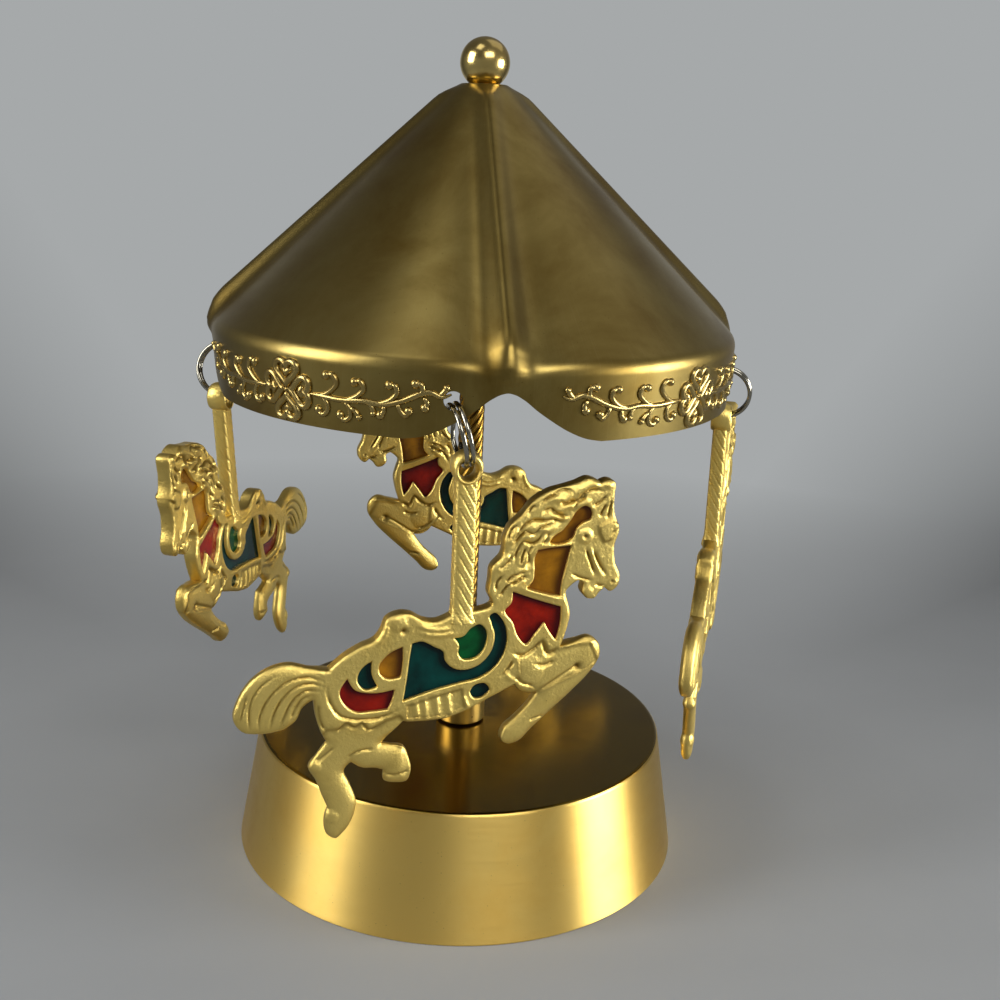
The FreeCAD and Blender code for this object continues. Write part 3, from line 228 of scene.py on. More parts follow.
class MeshMaker:
    """Gathers points, in millimetres, and faces for one object."""

    def __init__(self) -> None:
        """Start with nothing."""
        self.points: list[np.ndarray] = []
        self.faces: list[tuple[int, ...]] = []
        self.finish_of_face: list[int] = []
        self.count = 0

    def add(self, points: np.ndarray, faces: Sequence[Sequence[int]], finish: int = 0) -> None:
        """Add points and the faces between them.

        Args:
            points: Points, one row each.
            faces: Indices into these points.
            finish: Which of the object's finishes the faces take.
        """
        self.points.append(np.asarray(points, dtype=float).reshape(-1, 3))
        self.faces.extend(tuple(self.count + int(index) for index in face) for face in faces)
        self.finish_of_face.extend([finish] * len(faces))
        self.count += len(self.points[-1])

    def grid(self, points: np.ndarray, rows_meet: bool = False, finish: int = 0) -> None:
        """Add a grid of points whose columns run all the way round.

        Args:
            points: Points by row and column.
            rows_meet: Whether the last row joins the first.
            finish: Which of the object's finishes the faces take.
        """
        rows, columns = points.shape[:2]
        faces = []
        for row in range(rows if rows_meet else rows - 1):
            below = (row + 1) % rows
            for column in range(columns):
                beside = (column + 1) % columns
                faces.append((row * columns + column, row * columns + beside,
                              below * columns + beside, below * columns + column))
        self.add(points, faces, finish)

    def closed_grid(self, points: np.ndarray, finish: int = 0) -> None:
        """Add a grid that runs all the way round, with a cap on its first and its last row."""
        rows, columns = points.shape[:2]
        start = self.count
        self.grid(points, finish=finish)
        self.faces.append(tuple(start + column for column in range(columns)))
        self.faces.append(tuple(start + (rows - 1) * columns + column for column in range(columns)))
        self.finish_of_face.extend([finish, finish])

    def mesh(self, name: str, crease_deg: float = 40.0) -> bpy.types.Mesh:
        """Make the mesh.

        Args:
            name: Name of the mesh.
            crease_deg: Edges sharper than this stay crisp.

        Returns:
            The mesh, in metres, with its faces looking outward.
        """
        mesh = bpy.data.meshes.new(name)
        mesh.from_pydata((np.vstack(self.points) * MM).tolist(), [], self.faces)
        mesh.polygons.foreach_set("material_index", self.finish_of_face)
        sheet = bmesh.new()
        sheet.from_mesh(mesh)
        bmesh.ops.recalc_face_normals(sheet, faces=sheet.faces)
        sheet.to_mesh(mesh)
        sheet.free()
        mesh.shade_smooth()
        mesh.set_sharp_from_angle(angle=math.radians(crease_deg))
        return mesh


def upright_turn(sideways: Vector) -> Matrix:
    """Turn that keeps +Z upright and brings +Y to a level direction."""
    up = Vector((0.0, 0.0, 1.0))
    return Matrix((sideways.cross(up), sideways, up)).transposed().to_4x4()


def place_piece(name: str, mesh: bpy.types.Mesh, body: str, slot: str, *nodes: str) -> bpy.types.Object:
    """Put a piece in the scene, on its body.

    Args:
        name: Name of the piece.
        mesh: Its mesh.
        body: The body that it moves with.
        slot: The record's material slot; not used.
        nodes: CAD nodes that it stands for.

    Returns:
        The new object.
    """
    piece = bpy.data.objects.new(name, mesh)
    bpy.context.scene.collection.objects.link(piece)
    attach(piece, body)
    if nodes:
        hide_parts(*nodes)
    log.info("%s: %d faces on %s", name, len(mesh.polygons), body)
    return piece


# Finishes


def linear(colour: Colour) -> tuple[float, float, float, float]:
    """Turn a display colour, 0 to 255, into the linear colour that sockets take."""
    def channel(value: int) -> float:
        """Turn one channel."""
        share = value / 255
        return share / 12.92 if share <= 0.04045 else ((share + 0.055) / 1.055) ** 2.4
    return channel(colour[0]), channel(colour[1]), channel(colour[2]), 1.0


class NodeSheet:
    """Places and joins nodes in one node tree."""

    def __init__(self, tree: bpy.types.NodeTree) -> None:
        """Work on a node tree."""
        self.tree = tree

    def put(self, kind: str, feeds: dict | None = None, **settings: object) -> bpy.types.Node:
        """Place a node.

        Args:
            kind: Type of the node.
            feeds: What goes into its inputs, by name or number: a socket or a plain value.
            settings: The node's own settings.

        Returns:
            The node.
        """
        node = self.tree.nodes.new(kind)
        for key, value in settings.items():
            setattr(node, key, value)
        for key, value in (feeds or {}).items():
            if isinstance(value, bpy.types.NodeSocket):
                self.tree.links.new(value, node.inputs[key])
            else:
                node.inputs[key].default_value = value
        return node

    def sum(self, operation: str, *terms: object) -> bpy.types.NodeSocket:
        """Do one sum on sockets or numbers, and give its result."""
        return self.put("ShaderNodeMath", dict(enumerate(terms)), operation=operation).outputs[0]

    def mix(self, share: object, first: object, second: object) -> bpy.types.NodeSocket:
        """Mix two colours by a share."""
        node = self.put("ShaderNodeMix", {0: share, 6: first, 7: second}, data_type="RGBA")
        return node.outputs[2]

    def span(self, value: object, low: object, high: object, first: float = 0.0,
             last: float = 1.0) -> bpy.types.NodeSocket:
        """Stretch a value from one range to another, held at its ends."""
        feeds = {"Value": value, "From Min": low, "From Max": high, "To Min": first, "To Max": last}
        return self.put("ShaderNodeMapRange", feeds, clamp=True).outputs[0]

    def effect(self, group: bpy.types.NodeTree, feeds: dict) -> bpy.types.Node:
        """Place a shared effect with its own values."""
        node = self.tree.nodes.new("ShaderNodeGroup")
        node.node_tree = group
        for key, value in feeds.items():
            node.inputs[key].default_value = value
        return node


class Effects:
    """Effects that several finishes share, each a node group that is built once."""

    back_way: Place = (0.13, 0.99, 0.0)
    side_turn: Point = (0.93, 0.7)
    side_dim: float = 0.75
    front_turn: Point = (0.5, 0.0)
    front_lift: float = 0.35
    speck_power: float = 3.0
    speck_blur: float = 0.08

    @staticmethod
    def start(name: str, inputs: Sequence[str],
              outputs: Sequence[str]) -> tuple[NodeSheet, dict, bpy.types.Node]:
        """Start a group.

        Args:
            name: Name of the group.
            inputs: Names of its number inputs.
            outputs: Names of its number outputs.

        Returns:
            The sheet to place nodes on, the input sockets by name, and the output node.
        """
        tree = bpy.data.node_groups.new(name, "ShaderNodeTree")
        for socket in inputs:
            tree.interface.new_socket(socket, in_out="INPUT", socket_type="NodeSocketFloat")
        for socket in outputs:
            tree.interface.new_socket(socket, in_out="OUTPUT", socket_type="NodeSocketFloat")
        sheet = NodeSheet(tree)
        entry = sheet.put("NodeGroupInput")
        return sheet, {socket: entry.outputs[socket] for socket in inputs}, sheet.put("NodeGroupOutput")

    @classmethod
    @cache
    def tarnish(cls) -> bpy.types.NodeTree:
        """Soft clouds of tarnish: Scale sets their size, Low and High where they begin and fill."""
        sheet, inputs, result = cls.start("tarnish_clouds", ("Scale", "Low", "High"), ("Mask",))
        place = sheet.put("ShaderNodeTexCoord").outputs["Object"]
        clouds = sheet.put("ShaderNodeTexNoise", {"Vector": place, "Scale": inputs["Scale"], "Detail": 6.0,
                                                  "Roughness": 0.62, "Distortion": 0.4})
        mask = sheet.span(clouds.outputs[0], inputs["Low"], inputs["High"])
        sheet.tree.links.new(mask, result.inputs["Mask"])
        return sheet.tree

    @classmethod
    @cache
    def room_haze(cls) -> bpy.types.NodeTree:
        """Brightness of the room by the way from the object, X to the right and Y to the back."""
        sheet, inputs, result = cls.start("room_haze", ("X", "Y"), ("Share",))
        flat = sheet.put("ShaderNodeCombineXYZ", {0: inputs["X"], 1: inputs["Y"]}).outputs[0]
        way = sheet.put("ShaderNodeVectorMath", {0: flat}, operation="NORMALIZE").outputs[0]
        toward_back = sheet.put("ShaderNodeVectorMath", {0: way, 1: cls.back_way}, operation="DOT_PRODUCT")
        back = toward_back.outputs["Value"]
        share = sheet.sum("SUBTRACT", 1.0, sheet.span(back, *cls.side_turn, 0.0, cls.side_dim))
        share = sheet.sum("ADD", share, sheet.span(back, *cls.front_turn, 0.0, cls.front_lift))
        sheet.tree.links.new(share, result.inputs["Share"])
        return sheet.tree

    @classmethod
    @cache
    def specks(cls) -> bpy.types.NodeTree:
        """Small pits and spots: Scale sets how close they are, Size how large the largest is."""
        sheet, inputs, result = cls.start("fine_specks", ("Scale", "Size"), ("Mask",))
        place = sheet.put("ShaderNodeTexCoord").outputs["Object"]
        cells = sheet.put("ShaderNodeTexVoronoi", {"Vector": place, "Scale": inputs["Scale"]})
        draw = sheet.put("ShaderNodeSeparateColor", {0: cells.outputs["Color"]}).outputs[0]
        size = sheet.sum("MULTIPLY", inputs["Size"], sheet.sum("POWER", draw, cls.speck_power))
        mask = sheet.span(sheet.sum("SUBTRACT", size, cells.outputs["Distance"]), 0.0, cls.speck_blur)
        sheet.tree.links.new(mask, result.inputs["Mask"])
        return sheet.tree

    @classmethod
    @cache
    def tool_lines(cls) -> bpy.types.NodeTree:
        """Fine lines of a turned or brushed surface: Around and Along set how often they change."""
        sheet, inputs, result = cls.start("tool_lines", ("Around", "Along"), ("Lines",))
        place = sheet.put("ShaderNodeTexCoord").outputs["Object"]
        parts = sheet.put("ShaderNodeSeparateXYZ", {0: place}).outputs
        angle = sheet.sum("ARCTAN2", parts[1], parts[0])
        flat = sheet.put("ShaderNodeCombineXYZ", {0: parts[0], 1: parts[1]}).outputs[0]
        radius = sheet.put("ShaderNodeVectorMath", {0: flat}, operation="LENGTH").outputs["Value"]
        spread = sheet.put("ShaderNodeCombineXYZ", {
            0: sheet.sum("MULTIPLY", angle, inputs["Around"]),
            1: sheet.sum("MULTIPLY", radius, inputs["Along"]),
            2: sheet.sum("MULTIPLY", parts[2], inputs["Along"]),
        }).outputs[0]
        lines = sheet.put("ShaderNodeTexNoise", {"Vector": spread, "Scale": 1.0, "Detail": 4.0,
                                                 "Roughness": 0.7})
        sheet.tree.links.new(lines.outputs[0], result.inputs["Lines"])
        return sheet.tree


class LineRun(Enum):
    """How tool lines run over a piece: how often they change around its axis and along it."""

    AROUND = (3.0, 2600.0)
    DOWN = (420.0, 30.0)
    CAST = (160.0, 2200.0)


@dataclass(frozen=True)
class MetalFinish:
    """A metal with its tarnish, specks and tool lines."""

    name: str
    colour: Colour
    tarnished: Colour
    roughness: float
    lines: LineRun = LineRun.AROUND
    line_height: float = 0.02
    line_roughness: float = 0.1
    line_shade: float = 0.0
    line_colour: Colour = (232, 220, 172)
    grain: float = 0.0
    grain_scale: float = 3200.0
    tarnish_scale: float = 70.0
    tarnish_low: float = 0.45
    tarnish_high: float = 0.8
    tarnish_roughness: float = 0.08
    speck: Colour = (52, 40, 16)
    speck_scale: float = 900.0
    speck_size: float = 0.25
    # Colour that the mesh's darkening attribute mixes in: patina in hollows, and painted shade where the attribute
    # marks shade.
    depth_and_shade: Colour | None = None
    brushed: float = 0.0
    brush_turn: float = 0.25
    shine_span: Point = (0.58, 0.82)
    grain_span: Point = (0.25, 0.75)

    @cache
    def material(self) -> bpy.types.Material:
        """Make the material.

        Returns:
            The material, made once for each finish.
        """
        material = bpy.data.materials.new(self.name)
        material.use_nodes = True
        sheet = NodeSheet(material.node_tree)
        shader = material.node_tree.nodes["Principled BSDF"]
        clouds = sheet.effect(Effects.tarnish(), {"Scale": self.tarnish_scale, "Low": self.tarnish_low,
                                                  "High": self.tarnish_high}).outputs["Mask"]
        specks = sheet.effect(Effects.specks(), {"Scale": self.speck_scale, "Size": self.speck_size})
        round_it, along_it = self.lines.value
        lines = sheet.effect(Effects.tool_lines(), {"Around": round_it, "Along": along_it}).outputs["Lines"]
        colour = sheet.mix(clouds, linear(self.colour), linear(self.tarnished))
        if self.depth_and_shade is not None:
            # Darken by the mesh's attribute: patina in hollows, and painted shade on the horse's rounded edges.
            depth = sheet.put("ShaderNodeAttribute", attribute_name="depth_and_shade").outputs["Fac"]
            colour = sheet.mix(depth, colour, linear(self.depth_and_shade))
        colour = sheet.mix(specks.outputs["Mask"], colour, linear(self.speck))
        if self.line_shade > 0.0:
            shine = sheet.span(lines, *self.shine_span, 0.0, self.line_shade)
            colour = sheet.mix(shine, colour, linear(self.line_colour))
        uneven = sheet.sum("MULTIPLY", sheet.sum("SUBTRACT", lines, 0.5), self.line_roughness)
        dull = sheet.sum("MULTIPLY", clouds, self.tarnish_roughness)
        roughness = sheet.sum("ADD", sheet.sum("ADD", uneven, dull), self.roughness)
        height = sheet.sum("MULTIPLY", lines, self.line_height)
        if self.grain > 0.0:
            low, high = self.grain_span
            sand = sheet.effect(Effects.tarnish(), {"Scale": self.grain_scale, "Low": low, "High": high})
            height = sheet.sum("ADD", height, sheet.sum("MULTIPLY", sand.outputs["Mask"], self.grain))
        bump = sheet.put("ShaderNodeBump", {"Height": height, "Strength": 1.0, "Distance": MM})
        links = material.node_tree.links
        links.new(colour, shader.inputs["Base Color"])
        links.new(roughness, shader.inputs["Roughness"])
        links.new(bump.outputs[0], shader.inputs["Normal"])
        shader.inputs["Metallic"].default_value = 1.0
        if self.brushed > 0.0:
            turned = sheet.put("ShaderNodeTangent", direction_type="RADIAL", axis="Z").outputs[0]
            links.new(turned, shader.inputs["Tangent"])
            shader.inputs["Anisotropic"].default_value = self.brushed
            shader.inputs["Anisotropic Rotation"].default_value = self.brush_turn
        return material


@dataclass(frozen=True)
class EnamelFinish:
    """A glossy see-through enamel, deeper in colour where it is thick, with painted shade along the walls and on
    one side of each cell.
    """

    name: str
    colour: Colour
    deep: Colour
    cloud_scale: float = 160.0
    cloud_span: Point = (0.3, 0.75)
    ripple_scale: float = 420.0
    ripple_span: Point = (0.2, 0.9)
    ripple_height: float = 0.03
    roughness: float = 0.09
    transmission: float = 0.1
    ior: float = 1.3

    @cache
    def material(self) -> bpy.types.Material:
        """Make the material.

        Returns:
            The material, made once for each finish.
        """
        material = bpy.data.materials.new(self.name)
        material.use_nodes = True
        sheet = NodeSheet(material.node_tree)
        shader = material.node_tree.nodes["Principled BSDF"]
        low, high = self.cloud_span
        clouds = sheet.effect(Effects.tarnish(), {"Scale": self.cloud_scale, "Low": low,
                                                  "High": high}).outputs["Mask"]
        colour = sheet.mix(clouds, linear(self.colour), linear(self.deep))
        # This attribute darkens the enamel towards its deep colour: partly thicker enamel along the walls, partly
        # painted shade on one side of each cell.
        edge = sheet.put("ShaderNodeAttribute", attribute_name="depth_and_shade").outputs["Fac"]
        colour = sheet.mix(edge, colour, linear(self.deep))
        low, high = self.ripple_span
        ripple = sheet.effect(Effects.tarnish(), {"Scale": self.ripple_scale, "Low": low,
                                                  "High": high}).outputs["Mask"]
        bump = sheet.put("ShaderNodeBump", {"Height": ripple, "Strength": 1.0,
                                            "Distance": self.ripple_height * MM})
        links = material.node_tree.links
        links.new(colour, shader.inputs["Base Color"])
        links.new(bump.outputs[0], shader.inputs["Normal"])
        shader.inputs["Roughness"].default_value = self.roughness
        shader.inputs["Transmission Weight"].default_value = self.transmission
        shader.inputs["IOR"].default_value = self.ior
        return material


BASE_SIDE = MetalFinish("base_side_finish", (240, 204, 112), (226, 182, 86), 0.36, line_height=0.012,
                        brushed=0.85, line_roughness=0.16, line_shade=0.12, tarnish_scale=40.0,
                        speck=(160, 128, 62), speck_scale=1500.0, speck_size=0.16)
# Painted shade: the polished top of the same brass shell takes a far darker colour than the side.
BASE_TOP_SHADED = MetalFinish("base_top_shaded_finish", (122, 99, 32), (100, 78, 20), 0.18, line_height=0.002,
                       line_roughness=0.06, speck=(96, 72, 24), speck_scale=900.0, speck_size=0.14)
CANOPY_BRASS = MetalFinish("canopy_finish", (150, 131, 74), (102, 79, 28), 0.3, LineRun.DOWN,
                           line_height=0.006, line_roughness=0.1, line_shade=0.1, tarnish_scale=38.0,
                           tarnish_low=0.36, tarnish_high=0.74, tarnish_roughness=0.08, speck=(98, 78, 34),
                           speck_scale=1800.0, speck_size=0.2)
VINE_BRASS = MetalFinish("vine_finish", (172, 150, 92), (136, 110, 54), 0.27, LineRun.CAST, line_height=0.006,
                         tarnish_scale=90.0, speck=(84, 66, 28), speck_scale=1500.0)
BALL_BRASS = MetalFinish("ball_finish", (212, 186, 116), (182, 152, 84), 0.18, line_height=0.0015,
                         line_roughness=0.05, speck=(120, 96, 44), speck_scale=1500.0)
POST_BRASS = MetalFinish("post_finish", (154, 120, 50), (112, 82, 28), 0.28, LineRun.CAST, line_height=0.01)
HORSE_BRASS = MetalFinish("horse_finish", (236, 208, 118), (208, 178, 92), 0.4, LineRun.CAST,
                          line_height=0.004, grain=0.05, grain_scale=2000.0, tarnish_scale=110.0,
                          speck=(150, 118, 56), speck_scale=1600.0, speck_size=0.2, depth_and_shade=(104, 76, 26))
COLLAR_BRASS = MetalFinish("collar_finish", (232, 204, 120), (208, 176, 92), 0.3, line_height=0.006,
                           line_roughness=0.1, speck=(150, 120, 60))
RING_NICKEL = MetalFinish("ring_finish", (158, 154, 140), (116, 110, 94), 0.14, LineRun.CAST,
                          line_height=0.003, speck_size=0.15)
KEY_NICKEL = MetalFinish("key_finish", (196, 192, 182), (164, 160, 148), 0.24, LineRun.CAST,
                         line_height=0.006, speck_size=0.2)
MOVEMENT_STEEL = MetalFinish("movement_steel_finish", (176, 178, 182), (136, 136, 138), 0.28,
                             line_height=0.006)
MOVEMENT_BRASS = MetalFinish("movement_brass_finish", (206, 176, 100), (174, 140, 70), 0.26,
                             line_height=0.006)
BED_CASTING = MetalFinish("bedplate_finish", (150, 148, 144), (116, 113, 108), 0.45, LineRun.CAST,
                          line_height=0.02, grain=0.03, speck_size=0.3)
ENAMELS = {
    "amber": EnamelFinish("amber_enamel_finish", (170, 116, 20), (78, 42, 3)),
    "red": EnamelFinish("red_enamel_finish", (152, 27, 8), (70, 4, 4)),
    "teal": EnamelFinish("teal_enamel_finish", (0, 62, 56), (0, 22, 21)),
    "green": EnamelFinish("green_enamel_finish", (4, 100, 48), (1, 40, 16)),
}
FINISH_OF_SLOT = {
    "base_brass": BASE_SIDE,
    "canopy_brass": CANOPY_BRASS,
    "ball_brass": BALL_BRASS,
    "post_brass": POST_BRASS,
    "horse_brass": HORSE_BRASS,
    "ring_nickel": RING_NICKEL,
    "key_nickel": KEY_NICKEL,
    "movement_steel": MOVEMENT_STEEL,
    "movement_brass": MOVEMENT_BRASS,
    "bedplate_cast": BED_CASTING,
} | {f"{colour}_enamel": finish for colour, finish in ENAMELS.items()}
FINISH_OF_NODE = {"post_collar": COLLAR_BRASS}


# Base


@dataclass
class Base:
    """The spun base shell, in millimetres."""

    bottom_radius: float = 50.0
    top_radius: float = 45.4
    height: float = 27.0
    wall: float = 0.8
    edge: float = 0.9
    rim_round: float = 0.3
    bush_hole: float = 4.5
    segments: int = 256

    def build(self) -> bpy.types.Object:
        """Turn the shell, brushed on its side and polished on its top, with the top's colour darkened as painted
        shade.

        Returns:
            The piece that stands for the base shell.
        """
        profile = rounded_profile((
            (self.bush_hole, self.height, 0.0),
            (self.top_radius, self.height, self.edge),
            (self.bottom_radius, 0.0, self.rim_round),
            (self.bottom_radius - self.wall, 0.0, self.rim_round),
            (self.top_radius - self.wall, self.height - self.wall, self.edge / 2),
            (self.bush_hole, self.height - self.wall, 0.0),
        ))
        points = np.zeros((len(profile), self.segments, 3))
        points[:, :, :2] = profile[:, None, :1] * circle(self.segments)[None, :, :]
        points[:, :, 2] = profile[:, None, 1]
        maker = MeshMaker()
        maker.grid(points, rows_meet=True)
        # Faces at the top take the darker finish, which is painted shade.
        top = self.height - self.edge / 4
        heights = [min(profile[row, 1], profile[(row + 1) % len(profile), 1]) for row in range(len(profile))]
        maker.finish_of_face = [int(heights[row] > top) for row in range(len(profile))
                                for _ in range(self.segments)]
        mesh = maker.mesh("base_shell_turned")
        mesh.materials.append(BASE_SIDE.material())
        mesh.materials.append(BASE_TOP_SHADED.material())
        return place_piece("base_shell_turned", mesh, "base", "base_brass", "base_shell")


# Canopy


@dataclass
class Canopy:
    """The stamped canopy, in millimetres, with the first rib at the front."""

    wall: float = 0.6
    rod_hole: float = 1.55
    top_z: float = 166.8
    flat_radius: float = 4.4
    dome_radius: float = 7.4
    dome_drop: float = 2.2
    shoulder_radius: float = 54.8
    shoulder_z: float = 118.4
    shoulder_round: float = 1.6
    valance_radius: float = 54.0
    valance_bottom_z: float = 104.6
    ribs: int = 4
    rib_at: Point = (8.0, 53.0)
    rib_half: Point = (2.2, 3.2)
    rib_rise: Point = (1.2, 3.0)
    rib_fade: Point = (5.0, 9.0)
    rib_zone_deg: float = 10.0
    nose: Run = ((-6.0, 1.0), (-3.0, 0.95), (-1.6, 0.8), (0.0, 0.53), (1.6, 0.25), (3.0, 0.1), (5.0, 0.03),
                 (7.0, 0.0))
    eave_dip: float = 1.3
    eave_dip_half: float = 6.0
    eave_dip_reach: float = 3.0
    notch_half_width: float = 17.9
    notch_top_z: float = 113.9
    notch_curve: Run = ((1.0, 0.0), (0.84, 0.06), (0.65, 0.21), (0.45, 0.44), (0.3, 0.64), (0.15, 0.87),
                        (0.06, 0.97), (0.0, 1.0))
    notch_step: float = 0.01
    ring_hole_radius: float = 1.8
    ring_hole_z: float = 112.0
    ring_hole_deg: float = 10.0
    ring_hole_sides: int = 24
    ring_hole_reach: float = 3.0
    quarter_steps: tuple[int, int, int] = (34, 24, 26)
    flat_steps: int = 5
    bend_steps: int = 11
    roof_steps: int = 64
    roof_bunch: float = 1.4
    valance_steps: int = 30
    crease_deg: float = 40.0

    def slope(self) -> float:
        """Angle of the roof below the horizon."""
        fall = self.top_z - self.dome_drop - self.shoulder_z
        return math.atan2(fall, self.shoulder_radius - self.dome_radius)

    def rib_turn(self, index: float) -> float:
        """Angle of a rib, counted from the front one. A half between two counts is the middle of a panel."""
        return -math.pi / 2 + index * FULL_TURN / self.ribs

    def valance_at(self, z: np.ndarray) -> np.ndarray:
        """Radius of the valance at a height."""
        side_z = self.shoulder_z - self.shoulder_round
        share = (z - self.valance_bottom_z) / (side_z - self.valance_bottom_z)
        return self.valance_radius + share * (self.shoulder_radius - self.valance_radius)

    def quarter(self) -> np.ndarray:
        """Angles from one rib, in radians, for the quarter of the canopy around it."""
        corner = math.asin(self.notch_half_width / self.valance_radius)
        rib = math.radians(self.rib_zone_deg)
        near, middle, far = self.quarter_steps
        half = np.concatenate([np.linspace(0.0, rib, near, endpoint=False),
                               np.linspace(rib, corner, middle, endpoint=False),
                               np.linspace(corner, math.pi / self.ribs, far)])
        return np.concatenate([-half[:0:-1], half[:-1]])

    def lower_edge(self, turns: np.ndarray) -> np.ndarray:
        """Height of the valance's lower edge at angles from the rib."""
        half = np.asarray(self.notch_curve)
        curve = curve_through(np.vstack([half * [-1.0, 1.0], half[-2::-1]]), self.notch_step)
        across = self.valance_radius * np.sin(turns) / self.notch_half_width
        rise = np.interp(across, curve[:, 0], curve[:, 1], left=0.0, right=0.0)
        return self.valance_bottom_z + rise * (self.notch_top_z - self.valance_bottom_z)

    def roof_profile(self) -> np.ndarray:
        """Radius and height of the roof from the rod hole to the top of the valance."""
        slope = self.slope()
        crest = np.array([self.dome_radius - self.dome_drop / math.tan(slope), self.top_z])
        flat_end = np.array([self.flat_radius, self.top_z])
        dome_end = np.array([self.dome_radius, self.top_z - self.dome_drop])
        corner = np.array([self.shoulder_radius, self.shoulder_z])
        eave = corner + self.shoulder_round * np.array([-math.cos(slope), math.sin(slope)])
        side_z = self.shoulder_z - self.shoulder_round
        side = np.array([self.shoulder_radius, side_z])
        t = np.linspace(0.0, 1.0, self.bend_steps)[:, None]
        flat = np.linspace([self.rod_hole, self.top_z], flat_end, self.flat_steps)
        dome = (1 - t) ** 2 * flat_end + 2 * t * (1 - t) * crest + t ** 2 * dome_end
        closer = 1 - (1 - np.linspace(0.0, 1.0, self.roof_steps)[:, None]) ** self.roof_bunch
        roof = dome_end + (eave - dome_end) * closer
        shoulder = (1 - t) ** 2 * eave + 2 * t * (1 - t) * corner + t ** 2 * side
        return np.vstack([flat, dome[1:], roof[1:], shoulder[1:]])

    def rib_push(self, points: np.ndarray) -> np.ndarray:
        """Measure how far the rib pushes the sheet out.

        Args:
            points: Points of the plain sheet, by row and angle, with the rib along +X.

        Returns:
            The distance that each point moves along its outward direction.
        """
        radius, past = self.from_eave(points)
        down = np.clip((radius - self.rib_at[0]) / (self.rib_at[1] - self.rib_at[0]), 0.0, 1.0)
        rise = between(self.rib_rise, down)
        half = between(self.rib_half, down)
        fade = np.clip((radius - self.rib_fade[0]) / (self.rib_fade[1] - self.rib_fade[0]), 0.0, 1.0)
        nose = np.asarray(self.nose)
        share = np.interp(past, nose[:, 0], nose[:, 1])
        return rise * share * eased(fade) * np.exp(-(points[..., 1] / half) ** 2)

    def from_eave(self, points: np.ndarray) -> tuple[np.ndarray, np.ndarray]:
        """Radius of points, and how far down the sheet past the shoulder's corner they lie."""
        radius = np.hypot(points[..., 0], points[..., 1])
        height = points[..., 2] - self.shoulder_z
        return radius, np.where(height > 0.0, -np.hypot(self.shoulder_radius - radius, height), -height)

    def eave_drop(self, points: np.ndarray) -> np.ndarray:
        """How far the shoulder dips under the rib."""
        _, past = self.from_eave(points)
        across = np.exp(-(points[..., 1] / self.eave_dip_half) ** 2)
        return self.eave_dip * across * np.exp(-(past / self.eave_dip_reach) ** 2)

    def quarter_sheet(self) -> np.ndarray:
        """Points of the outside of one quarter, by row and angle, with the rib along +X."""
        turns = self.quarter()
        roof = self.roof_profile()
        rows = np.linspace(0.0, 1.0, self.valance_steps + 1)[1:]
        side_z = roof[-1, 1]
        valance_z = side_z + rows[:, None] * (self.lower_edge(turns) - side_z)[None, :]
        radius = np.vstack([np.repeat(roof[:, :1], len(turns), axis=1), self.valance_at(valance_z)])
        height = np.vstack([np.repeat(roof[:, 1:], len(turns), axis=1), valance_z])
        tangent = np.gradient(np.vstack([roof, np.column_stack([self.valance_at(valance_z[:, 0]),
                                                                valance_z[:, 0]])]), axis=0)
        tangent /= np.linalg.norm(tangent, axis=1)[:, None]
        points = np.stack([radius * np.cos(turns), radius * np.sin(turns), height], axis=-1)
        out, up = -tangent[:, 1][:, None], tangent[:, 0][:, None]
        normals = np.stack([out * np.cos(turns), out * np.sin(turns), up + 0.0 * turns], axis=-1)
        pushed = points + normals * self.rib_push(points)[..., None]
        pushed[..., 2] -= self.eave_drop(points)
        return pushed

    def sheet(self) -> np.ndarray:
        """Points of the whole outside, by row and angle."""
        quarter = self.quarter_sheet()
        parts = []
        for index in range(self.ribs):
            turn = self.rib_turn(index)
            cosine, sine = math.cos(turn), math.sin(turn)
            turned = quarter.copy()
            turned[..., 0] = cosine * quarter[..., 0] - sine * quarter[..., 1]
            turned[..., 1] = sine * quarter[..., 0] + cosine * quarter[..., 1]
            parts.append(turned)
        return np.concatenate(parts, axis=1)

    def thickened(self, outside: np.ndarray) -> np.ndarray:
        """Points of the inside of the sheet, one wall in from the outside."""
        beside = np.roll(outside, -1, axis=1) - np.roll(outside, 1, axis=1)
        down = np.gradient(outside, axis=0)
        normals = np.cross(down, beside)
        normals /= np.linalg.norm(normals, axis=-1)[..., None]
        return outside - normals * self.wall

    def cut_ring_holes(self, piece: bpy.types.Object) -> None:
        """Cut the four holes that the split rings hang in.

        Args:
            piece: The canopy, which is changed.
        """
        maker = MeshMaker()
        round_hole = self.ring_hole_radius * circle(self.ring_hole_sides)
        for index in range(self.ribs):
            turn = self.rib_turn(index) - math.radians(self.ring_hole_deg)
            out = np.array([math.cos(turn), math.sin(turn), 0.0])
            side_and_up = np.array([[-math.sin(turn), math.cos(turn), 0.0], [0.0, 0.0, 1.0]])
            ring = round_hole @ side_and_up
            middle = self.valance_radius * out + [0.0, 0.0, self.ring_hole_z]
            reach = self.ring_hole_reach * out
            maker.closed_grid(np.stack([middle - reach + ring, middle + reach + ring]))
        cutter = bpy.data.objects.new("ring_hole_cutter", maker.mesh("ring_hole_cutter"))
        bpy.context.scene.collection.objects.link(cutter)
        cut = piece.modifiers.new("ring_holes", "BOOLEAN")
        cut.object = cutter
        bpy.context.view_layer.update()
        done = bpy.data.meshes.new_from_object(piece.evaluated_get(bpy.context.evaluated_depsgraph_get()))
        piece.modifiers.clear()
        piece.data = done
        done.shade_smooth()
        done.set_sharp_from_angle(angle=math.radians(self.crease_deg))
        bpy.data.objects.remove(cutter)

